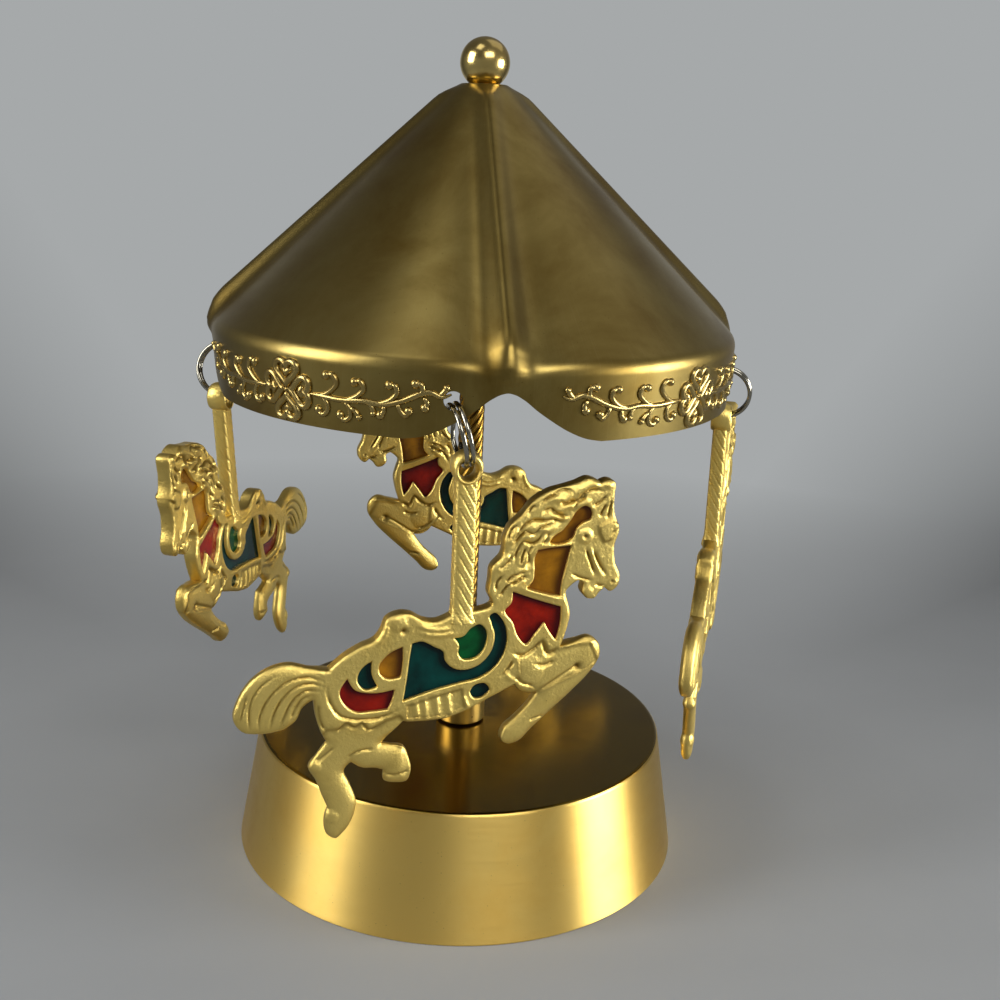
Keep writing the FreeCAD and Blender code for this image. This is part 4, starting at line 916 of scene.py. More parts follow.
    def build(self) -> bpy.types.Object:
        """Stamp the canopy.

        Returns:
            The piece that stands for the canopy.
        """
        outside = self.sheet()
        inside = self.thickened(outside)
        maker = MeshMaker()
        maker.grid(np.concatenate([outside, inside[::-1]], axis=0), rows_meet=True)
        mesh = maker.mesh("canopy_stamped")
        mesh.materials.append(CANOPY_BRASS.material())
        piece = place_piece("canopy_stamped", mesh, "carousel", "canopy_brass", "canopy")
        self.cut_ring_holes(piece)
        return piece


# Scroll band


# Half a vine, from the flower towards a rib: along the valance, and height. Curls and twigs end in a ball.
VINE_STEM: Run = ((5.0, 110.7), (8, 110.6), (12.7, 110.4), (16.8, 110.7), (19.9, 110.4), (23.8, 111.35),
                  (27.5, 113), (28.9, 113.3), (31, 112.6), (32.6, 113.2))
VINE_CURLS: tuple[Run, ...] = (
    ((6, 110.7), (8.6, 110.9), (10.3, 111.9), (11.4, 113.4), (10.5, 114.8), (9.2, 114.5)),
    ((10.3, 110.45), (13.7, 110.6), (15.8, 111.7), (16.8, 112.9), (16.1, 114.2), (15, 113.9)),
    ((16.8, 110.7), (19.9, 110.6), (22, 111.5), (23, 112.8), (22.7, 114), (21.6, 114)),
    ((23.8, 111.35), (26.2, 112.3), (27.6, 113.4), (27.3, 114.6), (26.3, 114.6)),
    ((7.9, 110.6), (9.4, 109.3), (9.2, 107.8), (8.2, 107.2), (7.3, 108)),
    ((12.7, 110.3), (14, 108.9), (14, 107.5), (12.9, 106.8), (12, 107.6)),
    ((20.4, 110.4), (20.6, 109.3), (19.9, 108.4)),
    ((23.1, 111), (23.7, 109.5), (24.6, 108.8), (25.1, 109.6)),
    ((27.7, 112.4), (28.4, 111.2), (28, 110.4)),
)
VINE_TWIGS: tuple[Run, ...] = (
    ((14, 109.2), (14.9, 108.8), (15.8, 107.6)),
    ((17.6, 110.6), (18.4, 109.6), (18.6, 108.6)),
    ((30.4, 112.8), (31.4, 113.6), (31.8, 114.3)),
)


@dataclass
class ScrollBand:
    """The raised vine and clovers on the valance, in millimetres."""

    canopy: Canopy
    vine_width: float = 0.58
    vine_rise: float = 0.6
    ball: float = 0.88
    rim_width: float = 0.74
    flower_z: float = 110.7
    petal_at: float = 0.9
    petal_length: float = 4.4
    petal_width: float = 5.4
    heart_length: float = 2.1
    heart_width: float = 2.6
    heart_at: float = 2.1
    heart_rise: float = 0.75
    heart_middle: float = 0.55
    middle_share: float = 0.7
    middle_rise: float = 0.8
    ball_rise: float = 0.85
    twig_ball: float = 0.75
    vine_step: float = 0.35
    curl_start: float = 0.75
    tip_share: float = 0.35
    tip_taper: float = 6.0
    dome_rows: int = 5
    dome_end: float = 0.97
    dome_sink: float = 0.15
    petals: int = 4
    petal_sides: int = 40
    ball_sides: int = 14
    middle_sides: int = 16
    sides: int = 10
    crease_deg: float = 60.0

    def on_valance(self, centre: float, flat: np.ndarray) -> np.ndarray:
        """Wrap points onto the valance.

        Args:
            centre: Angle of the middle of the panel.
            flat: Points as distance along the valance, height, and rise above it.

        Returns:
            The points in space.
        """
        radius = self.canopy.valance_at(flat[..., 1]) + flat[..., 2]
        turn = centre + flat[..., 0] / self.canopy.valance_radius
        return np.stack([radius * np.cos(turn), radius * np.sin(turn), flat[..., 1]], axis=-1)

    def strand(self, path: np.ndarray, widths: np.ndarray, closed: bool = False) -> np.ndarray:
        """Points of a half-round strand along a path, by row and side, still flat.

        Args:
            path: Points along the valance and in height.
            widths: Half width at each point.
            closed: Whether the path's ends meet.

        Returns:
            Distance along the valance, height and rise of each point.
        """
        along = np.roll(path, -1, axis=0) - np.roll(path, 1, axis=0) if closed else np.gradient(path, axis=0)
        along /= np.linalg.norm(along, axis=1)[:, None]
        side = np.column_stack([-along[:, 1], along[:, 0]])
        angles = around(self.sides)
        flat = np.zeros((len(path), self.sides, 3))
        flat[..., :2] = path[:, None, :] + side[:, None, :] * (widths[:, None] * np.cos(angles))[..., None]
        flat[..., 2] = self.vine_rise * (widths / self.vine_width)[:, None] * np.sin(angles)
        return flat

    def heart(self, start: float, length: float, width: float, turn: float) -> np.ndarray:
        """Outline of a heart, by the well-known heart curve, whose point looks at the flower's middle."""
        t = around(self.petal_sides)
        across = np.sin(t) ** 3 * width / 2
        rise = 17 + 13 * np.cos(t) - 5 * np.cos(2 * t) - 2 * np.cos(3 * t) - np.cos(4 * t)
        out = start + rise / 29 * length
        cosine, sine = math.cos(turn), math.sin(turn)
        return np.column_stack([out * cosine - across * sine, self.flower_z + out * sine + across * cosine])

    def dome(self, middle: Point, outline: np.ndarray, rise: float) -> np.ndarray:
        """Points of a low dome over an outline, by row and side, from its rim to its top."""
        rows = np.linspace(0.0, 1.0, self.dome_rows)
        flat = np.zeros((len(rows), len(outline), 3))
        shrink = np.cos(rows * math.pi / 2 * self.dome_end)[:, None, None]
        flat[..., :2] = np.asarray(middle) + (outline - middle)[None] * shrink
        flat[..., 2] = rise * np.sin(rows * math.pi / 2)[:, None] - self.dome_sink
        return flat

    def add_vine(self, maker: MeshMaker, centre: float, side: int) -> None:
        """Add half a vine on one side of a flower.

        Args:
            maker: Gathers the mesh.
            centre: Angle of the flower.
            side: 1 or -1, which way the vine runs.
        """
        mirror = np.array([side, 1.0])
        dot = circle(self.ball_sides)
        for run in (VINE_STEM,) + VINE_CURLS + VINE_TWIGS:
            path = curve_through(run, self.vine_step)
            share = np.linspace(0.0, 1.0, len(path))
            swell = 1.0 if run is VINE_STEM else between((self.curl_start, 1.0), share)
            tips = np.minimum(1.0, self.tip_share + self.tip_taper * np.minimum(share, 1 - share))
            widths = self.vine_width * swell * tips
            maker.closed_grid(self.on_valance(centre, self.strand(path * mirror, widths)))
            if run is not VINE_STEM:
                tip = np.asarray(run[-1]) * mirror
                size = self.ball if run in VINE_CURLS else self.twig_ball * self.ball
                ball = self.dome(tuple(tip), tip + size * dot, self.ball_rise)
                maker.closed_grid(self.on_valance(centre, ball))

    def add_flower(self, maker: MeshMaker, centre: float) -> None:
        """Add a clover of four heart-shaped petals.

        Args:
            maker: Gathers the mesh.
            centre: Angle of its middle.
        """
        middle = (0.0, self.flower_z)
        dot = circle(self.middle_sides) * self.ball * self.middle_share + middle
        maker.closed_grid(self.on_valance(centre, self.dome(middle, dot, self.middle_rise)))
        for index in range(self.petals):
            turn = index * FULL_TURN / self.petals
            outline = self.heart(self.petal_at, self.petal_length, self.petal_width, turn)
            widths = np.full(len(outline), self.rim_width)
            rim = self.strand(outline, widths, closed=True)
            maker.grid(self.on_valance(centre, rim), rows_meet=True)
            heart = self.heart(self.heart_at, self.heart_length, self.heart_width, turn)
            out = self.heart_at + self.heart_length * self.heart_middle
            spot = (out * math.cos(turn), self.flower_z + out * math.sin(turn))
            maker.closed_grid(self.on_valance(centre, self.dome(spot, heart, self.heart_rise)))

    def build(self) -> bpy.types.Object:
        """Raise the vines and clovers.

        Returns:
            The piece, which rides on the canopy.
        """
        maker = MeshMaker()
        for index in range(self.canopy.ribs):
            centre = self.canopy.rib_turn(index + 0.5)
            self.add_flower(maker, centre)
            self.add_vine(maker, centre, 1)
            self.add_vine(maker, centre, -1)
        mesh = maker.mesh("scroll_band", crease_deg=self.crease_deg)
        mesh.materials.append(VINE_BRASS.material())
        return place_piece("scroll_band", mesh, "carousel", "canopy_brass")


# Horses: the drawing has its own units, across and up, with the eyelet hole at (0, EYE_V)

EYE_V = 98.9

HORSE_OUTLINE: tuple[Run, ...] = (
    ((-2.1, 72.6), (-5, 71.6), (-7.2, 72.1), (-9.4, 73.3), (-11.6, 73.4), (-13.6, 72.4), (-14.3, 70.6),
     (-15.4, 68.9), (-18, 67.7), (-21, 65.9), (-23.6, 63.6)),
    ((-23.6, 63.6), (-27, 64.2), (-30.6, 65.1), (-34, 64.3), (-37, 62.2), (-39.2, 58.8), (-40, 55.2),
     (-38.6, 53), (-35.2, 52.3), (-31.4, 52.8)),
    ((-31.4, 52.8), (-29.2, 54.4), (-28, 56.8), (-26.2, 58.1)),
    ((-26.2, 58.1), (-25.9, 55.4), (-25, 52.2), (-23.9, 49.8)),
    ((-23.9, 49.8), (-25.6, 47.4), (-27, 45.2), (-25.7, 42.4), (-24.6, 39.4), (-23.6, 36.9)),
    ((-23.6, 36.9), (-24.2, 34), (-23.6, 31.4), (-22.1, 30.4), (-20.4, 31.8), (-18.8, 34.8), (-18.4, 37.6),
     (-19.6, 41.2), (-20.6, 44), (-19.4, 45.4)),
    ((-19.4, 45.4), (-17.4, 44.1), (-15, 43.8), (-13.5, 43.3)),
    ((-13.5, 43.3), (-13.4, 41.3), (-11.4, 40.6), (-9.2, 40.8), (-8.5, 42.6), (-8.9, 45.4), (-10, 47.7),
     (-12, 48.3), (-14, 48.7)),
    ((-14, 48.7), (-12.4, 50.5), (-10.2, 52.8)),
    ((-10.2, 52.8), (-6, 52.7), (-2.4, 52.9)),
    ((-2.4, 52.9), (1.4, 54.2), (5.4, 56.2), (10.2, 58.6)),
    ((10.2, 58.6), (11.6, 57), (13.3, 56.5), (14.5, 56.6)),
    ((14.5, 56.6), (12.9, 54.2), (10.7, 51.9), (8.6, 49.8), (8.2, 47.6), (9.5, 46.6), (11.2, 46.9),
     (14, 49.5), (17.5, 52.8), (21.4, 56.4), (24.6, 59.8), (26.4, 63), (26, 65.5), (24.2, 66.9),
     (21.5, 66.3), (18.5, 65.5)),
    ((18.5, 65.5), (19.6, 69), (20, 71.8), (19.4, 74.2), (19, 76), (20, 77.2), (21.1, 78)),
    ((21.1, 78), (22.1, 77.4), (22, 75.8), (23, 74.5), (24.4, 74.4), (25.4, 75.6), (26.3, 76.4)),
    ((26.3, 76.4), (27.4, 75.6), (28.8, 76.6), (29.1, 78.4), (28, 81.2), (27.7, 84.4), (28.4, 87.2),
     (27.3, 90.4), (27.1, 94.2)),
    ((27.1, 94.2), (26.9, 96.2), (25.7, 96.6), (24.4, 96.1)),
    ((24.4, 96.1), (22, 97), (19.8, 96.2), (17.6, 95.6), (15, 94.9), (12, 93.1), (10, 90.6), (8, 88.7),
     (7, 86.2), (6.8, 83.4), (4.9, 81), (4.7, 78.6), (4.5, 76.4), (5.3, 74.4), (2.4, 73.3)),
    ((2.4, 73.3), (-2.1, 72.6)),
)

CELLS: dict[str, tuple[tuple[Run, ...], ...]] = {
    "amber": (
        (((13.2, 84.1), (16.3, 84.5), (19.5, 84.7)),
         ((19.5, 84.7), (18.8, 81.3), (18.1, 77.9), (17.9, 75.3)),
         ((17.9, 75.3), (15.2, 75.9), (11.5, 77.1)),
         ((11.5, 77.1), (12.6, 78.4), (12.8, 80.4), (12.7, 82.6), (13.2, 84.1))),
        (((15.3, 85.4), (16.1, 86.6), (17.5, 87.5), (18.8, 89.1), (20.2, 91.2), (21.5, 92), (22.7, 91.3),
          (22.9, 89.6), (21.3, 88.8), (20.3, 87.8), (19.7, 86.2), (18.2, 85.3), (16.6, 85.1), (15.3, 85.4)),),
        (((-10.7, 67.3), (-10.6, 64.6), (-10.9, 61.6)),
         ((-10.9, 61.6), (-13.2, 61.4), (-14.6, 62.4), (-14.8, 63.9), (-13.6, 65.7), (-10.7, 67.3))),
    ),
    "red": (
        (((8.9, 76.6), (12.6, 75.1), (18.2, 73.2)),
         ((18.2, 73.2), (18.2, 69.8), (17.5, 66.8)),
         ((17.5, 66.8), (16.4, 68.2), (15.2, 70.3)),
         ((15.2, 70.3), (13.6, 68.2), (11.9, 66.3), (10.4, 67.8), (9.2, 70.7), (7.7, 73.1), (8.8, 74.4),
          (8.9, 76.6))),
        (((-20.4, 61.9), (-19, 59.7), (-16.2, 58.9), (-12, 59.3)),
         ((-12, 59.3), (-12.3, 57.5), (-13, 55.6)),
         ((-13, 55.6), (-16.1, 55.4), (-18.8, 55.5), (-20.8, 57), (-21.7, 59.4), (-20.4, 61.9))),
    ),
    "teal": (
        (((-9, 67.8), (-7.6, 68.1), (-5, 66.9), (-3.3, 65.8), (-3, 64.2), (-1.4, 62.6), (1, 62.2),
          (3.6, 63.2), (5.4, 65.4), (6, 68.2), (5.3, 70.8), (4.9, 72.2), (5.7, 72.7), (7.2, 71.4),
          (8.3, 68.4), (7.9, 65), (6.3, 62.3), (3.6, 60.5), (-0.2, 59.7), (-5, 58.6), (-10.4, 56.9)),
         ((-10.4, 56.9), (-9.8, 61.2), (-9.3, 65.8), (-9, 67.8))),
        (((1.8, 57.9), (2.5, 59), (4.3, 59.4)),
         ((4.3, 59.4), (5.1, 58.8), (5.5, 57.8)),
         ((5.5, 57.8), (3.6, 56.5), (2.4, 56.7), (1.8, 57.9))),
        (((-16.1, 65), (-16.1, 62.5), (-15, 60)),
         ((-15, 60), (-17.4, 59.7), (-18.6, 61.2), (-18.2, 63.2), (-16.1, 65))),
    ),
    "green": (
        (((-1.5, 68.4), (0.2, 68.6), (1.5, 70), (3.1, 70.7), (4.4, 69.4), (4.5, 67.2), (3.6, 65.1),
          (1.7, 64.1), (0, 64.4), (-0.6, 65.4), (-0.5, 66.9), (-1.5, 68.4)),),
    ),
}

MANE_GROOVES: tuple[Run, ...] = (
    ((24.8, 94.6), (22.8, 94.9), (21, 93.9), (20, 92.6), (19.2, 91.2)),
    ((21.9, 94.3), (20.4, 93), (18.8, 92.9), (17.4, 92.6), (16.7, 93.4)),
    ((19, 94.6), (17.2, 95), (15.4, 94), (14, 93.2), (13.3, 92.3)),
    ((18.6, 90.3), (17.2, 90.4), (16, 91), (15.2, 91.6), (14.2, 91.2), (13.9, 90.6)),
    ((18.2, 89.6), (16.8, 89.3), (15.6, 89.8), (14.4, 89.6), (12.4, 89.7), (10.8, 89), (9.6, 87.6),
     (8.6, 86)),
    ((15.4, 88.9), (13.4, 88.2), (12.2, 87.2), (10.8, 87.6), (9.6, 86.6), (8.7, 85)),
    ((13.9, 87.4), (13.2, 86), (12, 85.4), (10.6, 85.8), (9.4, 84), (8.9, 82)),
    ((15.1, 87.3), (14.6, 86), (14, 85.2)),
    ((12.2, 85), (11.4, 83.5), (11.6, 82), (10.8, 81.4)),
    ((11, 84.6), (10.4, 83), (10.3, 81.4)),
    ((11.2, 80.2), (9.6, 79.8), (8.4, 79.2), (7.6, 78)),
    ((11.4, 79.3), (10.2, 78.9), (9.6, 78.2)),
    ((9.9, 78.4), (8.2, 78), (7.2, 76.8), (6.5, 75.6)),
    ((12.5, 92.3), (11.5, 91.6), (11.3, 90.6)),
    ((9, 88.8), (8, 87.4), (7.9, 86)),
    ((8.6, 83.4), (7.6, 82), (6, 80.8)),
    ((7, 79.6), (6, 78.4), (5.9, 76.8)),
    ((23, 91.9), (24.4, 92.6), (25.4, 93.8)),
    ((25.9, 89.4), (26.2, 91), (26.5, 93)),
    ((24.4, 89.8), (24.9, 91), (25.6, 92.2)),
)
MANE_LOCKS: tuple[Run, ...] = (
    ((24.7, 95.4), (22.5, 95.9), (20.4, 95), (19, 94.3), (17.5, 93.2), (16.1, 93.5), (14.3, 92.5)),
    ((22.7, 93.5), (21.1, 92.5), (19.3, 92.1), (17.5, 91.8), (16, 90.7)),
    ((19, 90.1), (17.2, 89.9), (15.8, 90.3), (14.7, 89.6), (12.9, 88.5), (11, 87.8)),
    ((16.5, 88.9), (15.1, 87.8), (13.3, 88.1), (11.5, 87.1), (10.1, 86)),
    ((15.8, 86.7), (14, 86), (12.6, 84.5), (11.9, 83.1)),
    ((12.2, 84.5), (11.3, 83.1), (10.4, 80.9)),
    ((11.7, 80.9), (10.1, 80.2), (8.7, 78.7), (7.6, 77.3)),
    ((11.1, 79.1), (9.7, 78), (8.3, 76.6)),
    ((9.7, 88.1), (8.3, 86.7), (7.9, 85.2)),
    ((7.9, 83.8), (6.9, 81.6), (5.8, 80.2)),
)
FACE_GROOVES: tuple[Run, ...] = (
    ((22.2, 84), (23.2, 81.5), (24.2, 79)),
    ((23.6, 83.8), (24.8, 81.2), (26.3, 78.9)),
    ((19.8, 79.4), (21.4, 78.6), (23.5, 78)),
    ((24.4, 77.2), (25.3, 76.9), (26.3, 76.7)),
)
FACE_RIDGES: tuple[Run, ...] = (
    ((22.9, 84.2), (24, 81.4), (25.4, 78.8)),
    ((13.6, 84.9), (16.5, 84.9), (19.6, 85.2)),
)
CHEST_GROOVES: tuple[Run, ...] = (
    ((9.5, 64.9), (11.2, 64.2), (13, 65), (14.8, 66.9)),
    ((14.8, 66.9), (15.6, 65.2), (16, 64.1), (17.8, 65)),
    ((13.8, 62.4), (15.4, 62), (17.4, 62.8)),
    ((10.1, 60.4), (11.4, 58.9), (13.6, 58.2)),
    ((7.6, 60.6), (8.8, 61.8), (9.6, 63.4)),
)
LEG_GROOVES: tuple[Run, ...] = (
    ((14.7, 56.8), (18, 59.2), (20.5, 60.8), (22.8, 61.9)),
    ((13.2, 51.4), (14.6, 51.8), (16, 51.9)),
    ((-26, 46), (-24.4, 47.2), (-22.5, 49)),
    ((-13.4, 42.8), (-11.4, 42.5), (-8.8, 43.2)),
    ((-20.4, 46.4), (-18.6, 47.6), (-15.4, 48)),
)
HAUNCH_GROOVES: tuple[Run, ...] = (
    ((-24, 60.5), (-23.3, 57.5), (-21.6, 55), (-18.5, 54), (-14, 54.2), (-11.4, 55.4)),
    ((-23.4, 53), (-21.8, 52.4), (-20.5, 53.4), (-19, 52.6), (-17.6, 53.2), (-16.6, 52), (-15, 52.4),
     (-13.6, 53.6)),
    ((-25.4, 57.6), (-25.1, 54.5), (-24.2, 52.2)),
)
TAIL_GROOVES: tuple[Run, ...] = (
    ((-24.6, 61.8), (-27.5, 62.7), (-30.5, 62.2), (-33, 60.4), (-35, 57.5), (-35.7, 55), (-35.6, 53)),
    ((-24.6, 60.8), (-27, 61.5), (-29.5, 60.9), (-31.8, 58.8), (-33.2, 56), (-33.9, 53.1)),
    ((-25.2, 60), (-27.5, 60.2), (-29.8, 58.6), (-31.2, 56), (-32.2, 53.4)),
    ((-26.4, 59.2), (-28, 58.8), (-29.4, 57), (-30.2, 54.8)),
    ((-33, 63.2), (-35.4, 61.4), (-37, 58.8), (-37.4, 56), (-37.2, 53.6)),
    ((-37.6, 60), (-38.3, 57.4), (-38.9, 55)),
)
SADDLE_RIDGES: tuple[Run, ...] = (
    ((-8.2, 71.3), (-5, 70.2), (-2, 70.4)),
    ((-7.4, 69.7), (-4, 69.1), (-1.4, 69.6)),
    ((-13.5, 71.8), (-14, 69.6), (-15.2, 68)),
    ((7.9, 61.4), (8.8, 60.4), (9.8, 59.4)),
    ((0.3, 57.4), (0.9, 56), (1.7, 54.8)),
    ((9.8, 77.3), (13.6, 76), (18.6, 74.4)),
    ((18.8, 65.2), (22, 65.7), (25.2, 66)),
)
GIRTH_RIBS: tuple[Run, ...] = (
    ((-8.3, 56.8), (-7.7, 53.6)),
    ((-6.6, 57.2), (-6.1, 53.4)),
    ((-4.5, 57.6), (-3.9, 53.5)),
    ((-2.5, 58), (-1.7, 53.6)),
)
# Bosses: across, up, radius, height
BOSSES: tuple[tuple[float, float, float, float], ...] = (
    (21.8, 86.4, 1.5, 0.6), (-11.4, 71.6, 1.6, 0.3), (-26.1, 45.4, 1.4, 0.3), (-22.9, 35.2, 1.3, 0.3),
    (25.7, 95.6, 0.7, 0.3), (27.7, 77.4, 0.9, 0.25), (22.9, 76, 1.1, 0.25), (12.4, 61.2, 3.2, 0.35),
)
# Dimples: across, up, radius, depth
DIMPLES: tuple[tuple[float, float, float, float], ...] = (
    (-10.6, 70.3, 0.6, 0.5), (27.5, 77.6, 0.35, 0.4), (22, 61.3, 0.8, 0.4), (21.8, 86.4, 0.5, 0.5),
)


# Panels that stand above or below the rest: outline, height, width of the edge
PANELS: tuple[tuple[Run, float, float], ...] = (
    (((24.3, 88.1), (26.1, 89.2), (28.4, 88.3), (27, 87), (26.8, 85.6), (25.4, 85.2), (24.5, 87)), 0.42, 0.4),
    (((-23.8, 52.6), (-22, 52.2), (-20.5, 53.2), (-19, 52.4), (-17.6, 53), (-16.6, 51.8), (-15, 52.2),
      (-13.4, 53.4), (-11, 54.2), (-9, 52), (-13, 48.7), (-6, 46), (-7, 38), (-20, 28), (-27, 28),
      (-29, 46)), -0.34, 0.5),
    (((-9.6, 56), (-5, 57.3), (0.2, 58.5), (0.9, 55), (-2.4, 53.5), (-9.6, 53.4)), -0.26, 0.35),
    (((10.6, 64.2), (12, 64.4), (15, 67), (16.3, 64.8), (18, 65.2), (24, 66.2), (26, 62), (14.6, 57),
      (11, 59.4)), -0.2, 0.5),
)


@dataclass(frozen=True)
class Carving:
    """Strokes of one kind on the casting: how high they stand, below zero for grooves, how wide, and how
    dark the patina in them is."""

    strokes: tuple[Run, ...]
    height: float
    width: float
    patina: float = 0.0


CARVINGS = (
    Carving(MANE_GROOVES, -0.5, 0.26, 0.75),
    Carving(MANE_LOCKS, 0.42, 0.62),
    Carving(FACE_GROOVES, -0.45, 0.26, 0.7),
    Carving(FACE_RIDGES, 0.3, 0.36),
    Carving(CHEST_GROOVES, -0.5, 0.32, 0.6),
    Carving(LEG_GROOVES, -0.32, 0.28, 0.5),
    Carving(HAUNCH_GROOVES, -0.45, 0.32, 0.6),
    Carving(TAIL_GROOVES, -0.34, 0.24, 0.55),
    Carving(SADDLE_RIDGES, 0.3, 0.4),
    Carving(GIRTH_RIBS, 0.36, 0.52),
)


@dataclass
class Horse:
    """The cast horse with its enamel, in drawing units until it is scaled."""

    scale: float = 1.035
    half_thick: float = 1.6
    edge_share: Point = (0.62, 0.3)
    edge_round: Point = (0.75, 2.5)
    cell_round: float = 0.3
    cell_drop: float = 0.2
    body_swell: float = 0.1
    sand: float = 0.022
    sand_seed: int = 7
    step: float = 0.25
    pole_half: Point = (1.95, 1.6)
    pole_square: float = 4.5
    pole_foot_v: float = 71.0
    pole_pitch: float = 2.7
    pole_starts: int = 7
    pole_groove: float = 0.16
    pole_bead: float = 0.1
    knob_v: float = 99.6
    knob_radius: float = 2.8
    knob_thick: float = 2.15
    knob_drop: float = 0.6
    eye_radius: float = 1.52
    enamel_recess: float = 0.9
    meniscus: float = 0.16
    meniscus_reach: float = 0.4
    # Painted shade in the enamel: how much it darkens along the walls, and the offset and reach of the darker
    # side.
    wall_depth_and_shade: float = 0.8
    shade_offset: Point = (0.6, 0.45)
    shade_reach: float = 0.7
    casting_insets: tuple[float, ...] = (0.1, 0.24, 0.42, 0.66)
    enamel_insets: tuple[float, ...] = (0.1, 0.24, 0.45, 0.7)
    grid_gap: float = 0.6
    row_gap: float = 0.4
    meeting: float = 1e-7
    crease_deg: float = 55.0
    least_height: float = 0.2
    swell_from: float = 1.0
    swell_run: float = 3.0
    swell_power: float = 0.8
    panel_patina: float = 0.5
    edge_shade: float = 0.35
    stroke_step: float = 0.4
    stroke_fade: float = 0.15
    stroke_end: float = 0.25
    boss_power: float = 0.7
    limb_smooth: float = 0.7
    limb_blend: float = 2.4
    tail_u: float = -24.5
    hind_leg: Point = (-7.5, 52.0)
    fore_leg: Point = (10.2, 58.0)
    fore_leg_u: float = 7.5
    fore_leg_slope: float = 0.83
    pole_sides: int = 64
    pole_step: float = 0.11
    pole_gap: float = 0.3
    groove_at: float = 0.5
    bead_at: float = 0.7
    groove_width: float = 0.09
    bead_pitch: float = 0.62
    foot_flare: float = 0.5
    foot_run: float = 1.6
    knob_sides: int = 48
    knob_rows: int = 24

    def cells(self) -> dict[str, list[np.ndarray]]:
        """Closed loops of the pierced cells by colour."""
        return {colour: [loop_of(runs, self.step) for runs in shapes] for colour, shapes in CELLS.items()}

    def triangles(self, loops: Sequence[np.ndarray], extra: np.ndarray) -> tuple[np.ndarray, list[list[int]]]:
        """Fill the space between loops with triangles.

        Args:
            loops: The outer loop, then the holes.
            extra: More points to take in.

        Returns:
            All points, the loops' points first and in order, and the triangles.
        """
        edges: list[tuple[int, int]] = []
        start = 0
        for loop in loops:
            count = len(loop)
            edges.extend((start + index, start + (index + 1) % count) for index in range(count))
            start += count
        points = np.vstack([*loops, extra])
        result = delaunay_2d_cdt([Vector(point) for point in points], edges, [], 0, self.meeting)
        if len(result[0]) != len(points):
            raise ValueError("the drawing crosses itself")
        faces = np.array(result[2])
        middle = points[faces].mean(axis=1)
        keep = is_inside(middle, loops[0])
        for hole in loops[1:]:
            keep &= ~is_inside(middle, hole)
        return points, faces[keep].tolist()

    def field(self, loops: Sequence[np.ndarray], insets: Sequence[float]) -> np.ndarray:
        """Points inside the outer loop and outside the holes.

        Args:
            loops: The outer loop, then the holes.
            insets: Distances of the rows along each loop.

        Returns:
            Rows of points along the loops, then a grid over the rest.
        """
        outer, holes = loops[0], loops[1:]
        low, high = outer.min(axis=0), outer.max(axis=0)
        x, y = np.meshgrid(np.arange(low[0], high[0], self.step), np.arange(low[1], high[1], self.step))
        x[1::2] += self.step / 2
        grid = np.column_stack([x.ravel(), y.ravel()])
        grid = grid[is_inside(grid, outer)]
        for loop in loops:
            away, _ = nearest_on(grid, round_loop(loop))
            grid = grid[away > insets[-1] + self.grid_gap * self.step]
        for hole in holes:
            grid = grid[~is_inside(grid, hole)]
        rows = []
        for index, loop in enumerate(loops):
            row = inset_rows(loop, insets, inward=index == 0)
            row = row[is_inside(row, outer)]
            for other in [*loops[:index], *loops[index + 1:]]:
                away, _ = nearest_on(row, round_loop(other))
                row = row[away > self.row_gap * self.step]
            for hole in holes:
                row = row[~is_inside(row, hole)]
            rows.append(row)
        taken = np.vstack(rows)
        return np.vstack([self.thinned(taken), grid])

    def thinned(self, points: np.ndarray) -> np.ndarray:
        """Drop points that crowd an earlier one."""
        near = 0.05
        keys = np.round(points / near).astype(int)
        _, first = np.unique(keys, axis=0, return_index=True)
        return points[np.sort(first)]

    def heights(self, points: np.ndarray, loops: Sequence[np.ndarray]) -> tuple[np.ndarray, np.ndarray]:
        """Height of the casting over its middle plane, and how dark its patina and painted shade are there.

        Args:
            points: Places on the drawing.
            loops: The outer loop, then the cells.

        Returns:
            Heights, and the darkening from 0 to 1: patina in hollows, and painted shade on the rounded outline.
        """
        from_edge, _ = nearest_on(points, round_loop(loops[0]))
        limb = self.limbs(points)
        edge_round = between(self.edge_round, limb)
        edge_share = between(self.edge_share, limb)
        share = 1 - np.clip(from_edge / edge_round, 0.0, 1.0)
        height = self.half_thick * (edge_share + (1 - edge_share) * np.sqrt(1 - share ** 2))
        from_cell = np.full(len(points), np.inf)
        for cell in loops[1:]:
            away, _ = nearest_on(points, round_loop(cell))
            from_cell = np.minimum(from_cell, away)
        near_cell = np.clip(1 - from_cell / self.cell_round, 0.0, 1.0)
        height -= self.cell_drop * near_cell ** 2
        inner = (np.minimum(from_edge, from_cell) - self.swell_from) / self.swell_run
        height += self.body_swell * np.clip(inner, 0.0, 1.0) ** self.swell_power
        depth_and_shade = np.zeros(len(points))
        for outline, rise, soft in PANELS:
            loop = np.asarray(outline, dtype=float)
            away, _ = nearest_on(points, round_loop(loop))
            step = np.clip(0.5 + np.where(is_inside(points, loop), away, -away) / soft, 0.0, 1.0)
            height += rise * eased(step)
            depth_and_shade = np.maximum(depth_and_shade, self.panel_patina * np.exp(-(away / soft) ** 2))
        for carving in CARVINGS:
            shape = np.zeros(len(points))
            for stroke in carving.strokes:
                away, along = nearest_on(points, curve_through(stroke, self.stroke_step))
                fade = np.clip(np.minimum(along, 1 - along) / self.stroke_fade, self.stroke_end, 1.0)
                shape = np.maximum(shape, np.exp(-(away / carving.width) ** 2) * fade)
            height += carving.height * shape
            depth_and_shade = np.maximum(depth_and_shade, carving.patina * shape)
        for u, v, radius, rise in BOSSES:
            away = np.hypot(points[:, 0] - u, points[:, 1] - v) / radius
            height += rise * np.clip(1 - away ** 2, 0.0, 1.0) ** self.boss_power
        for u, v, radius, depth in DIMPLES:
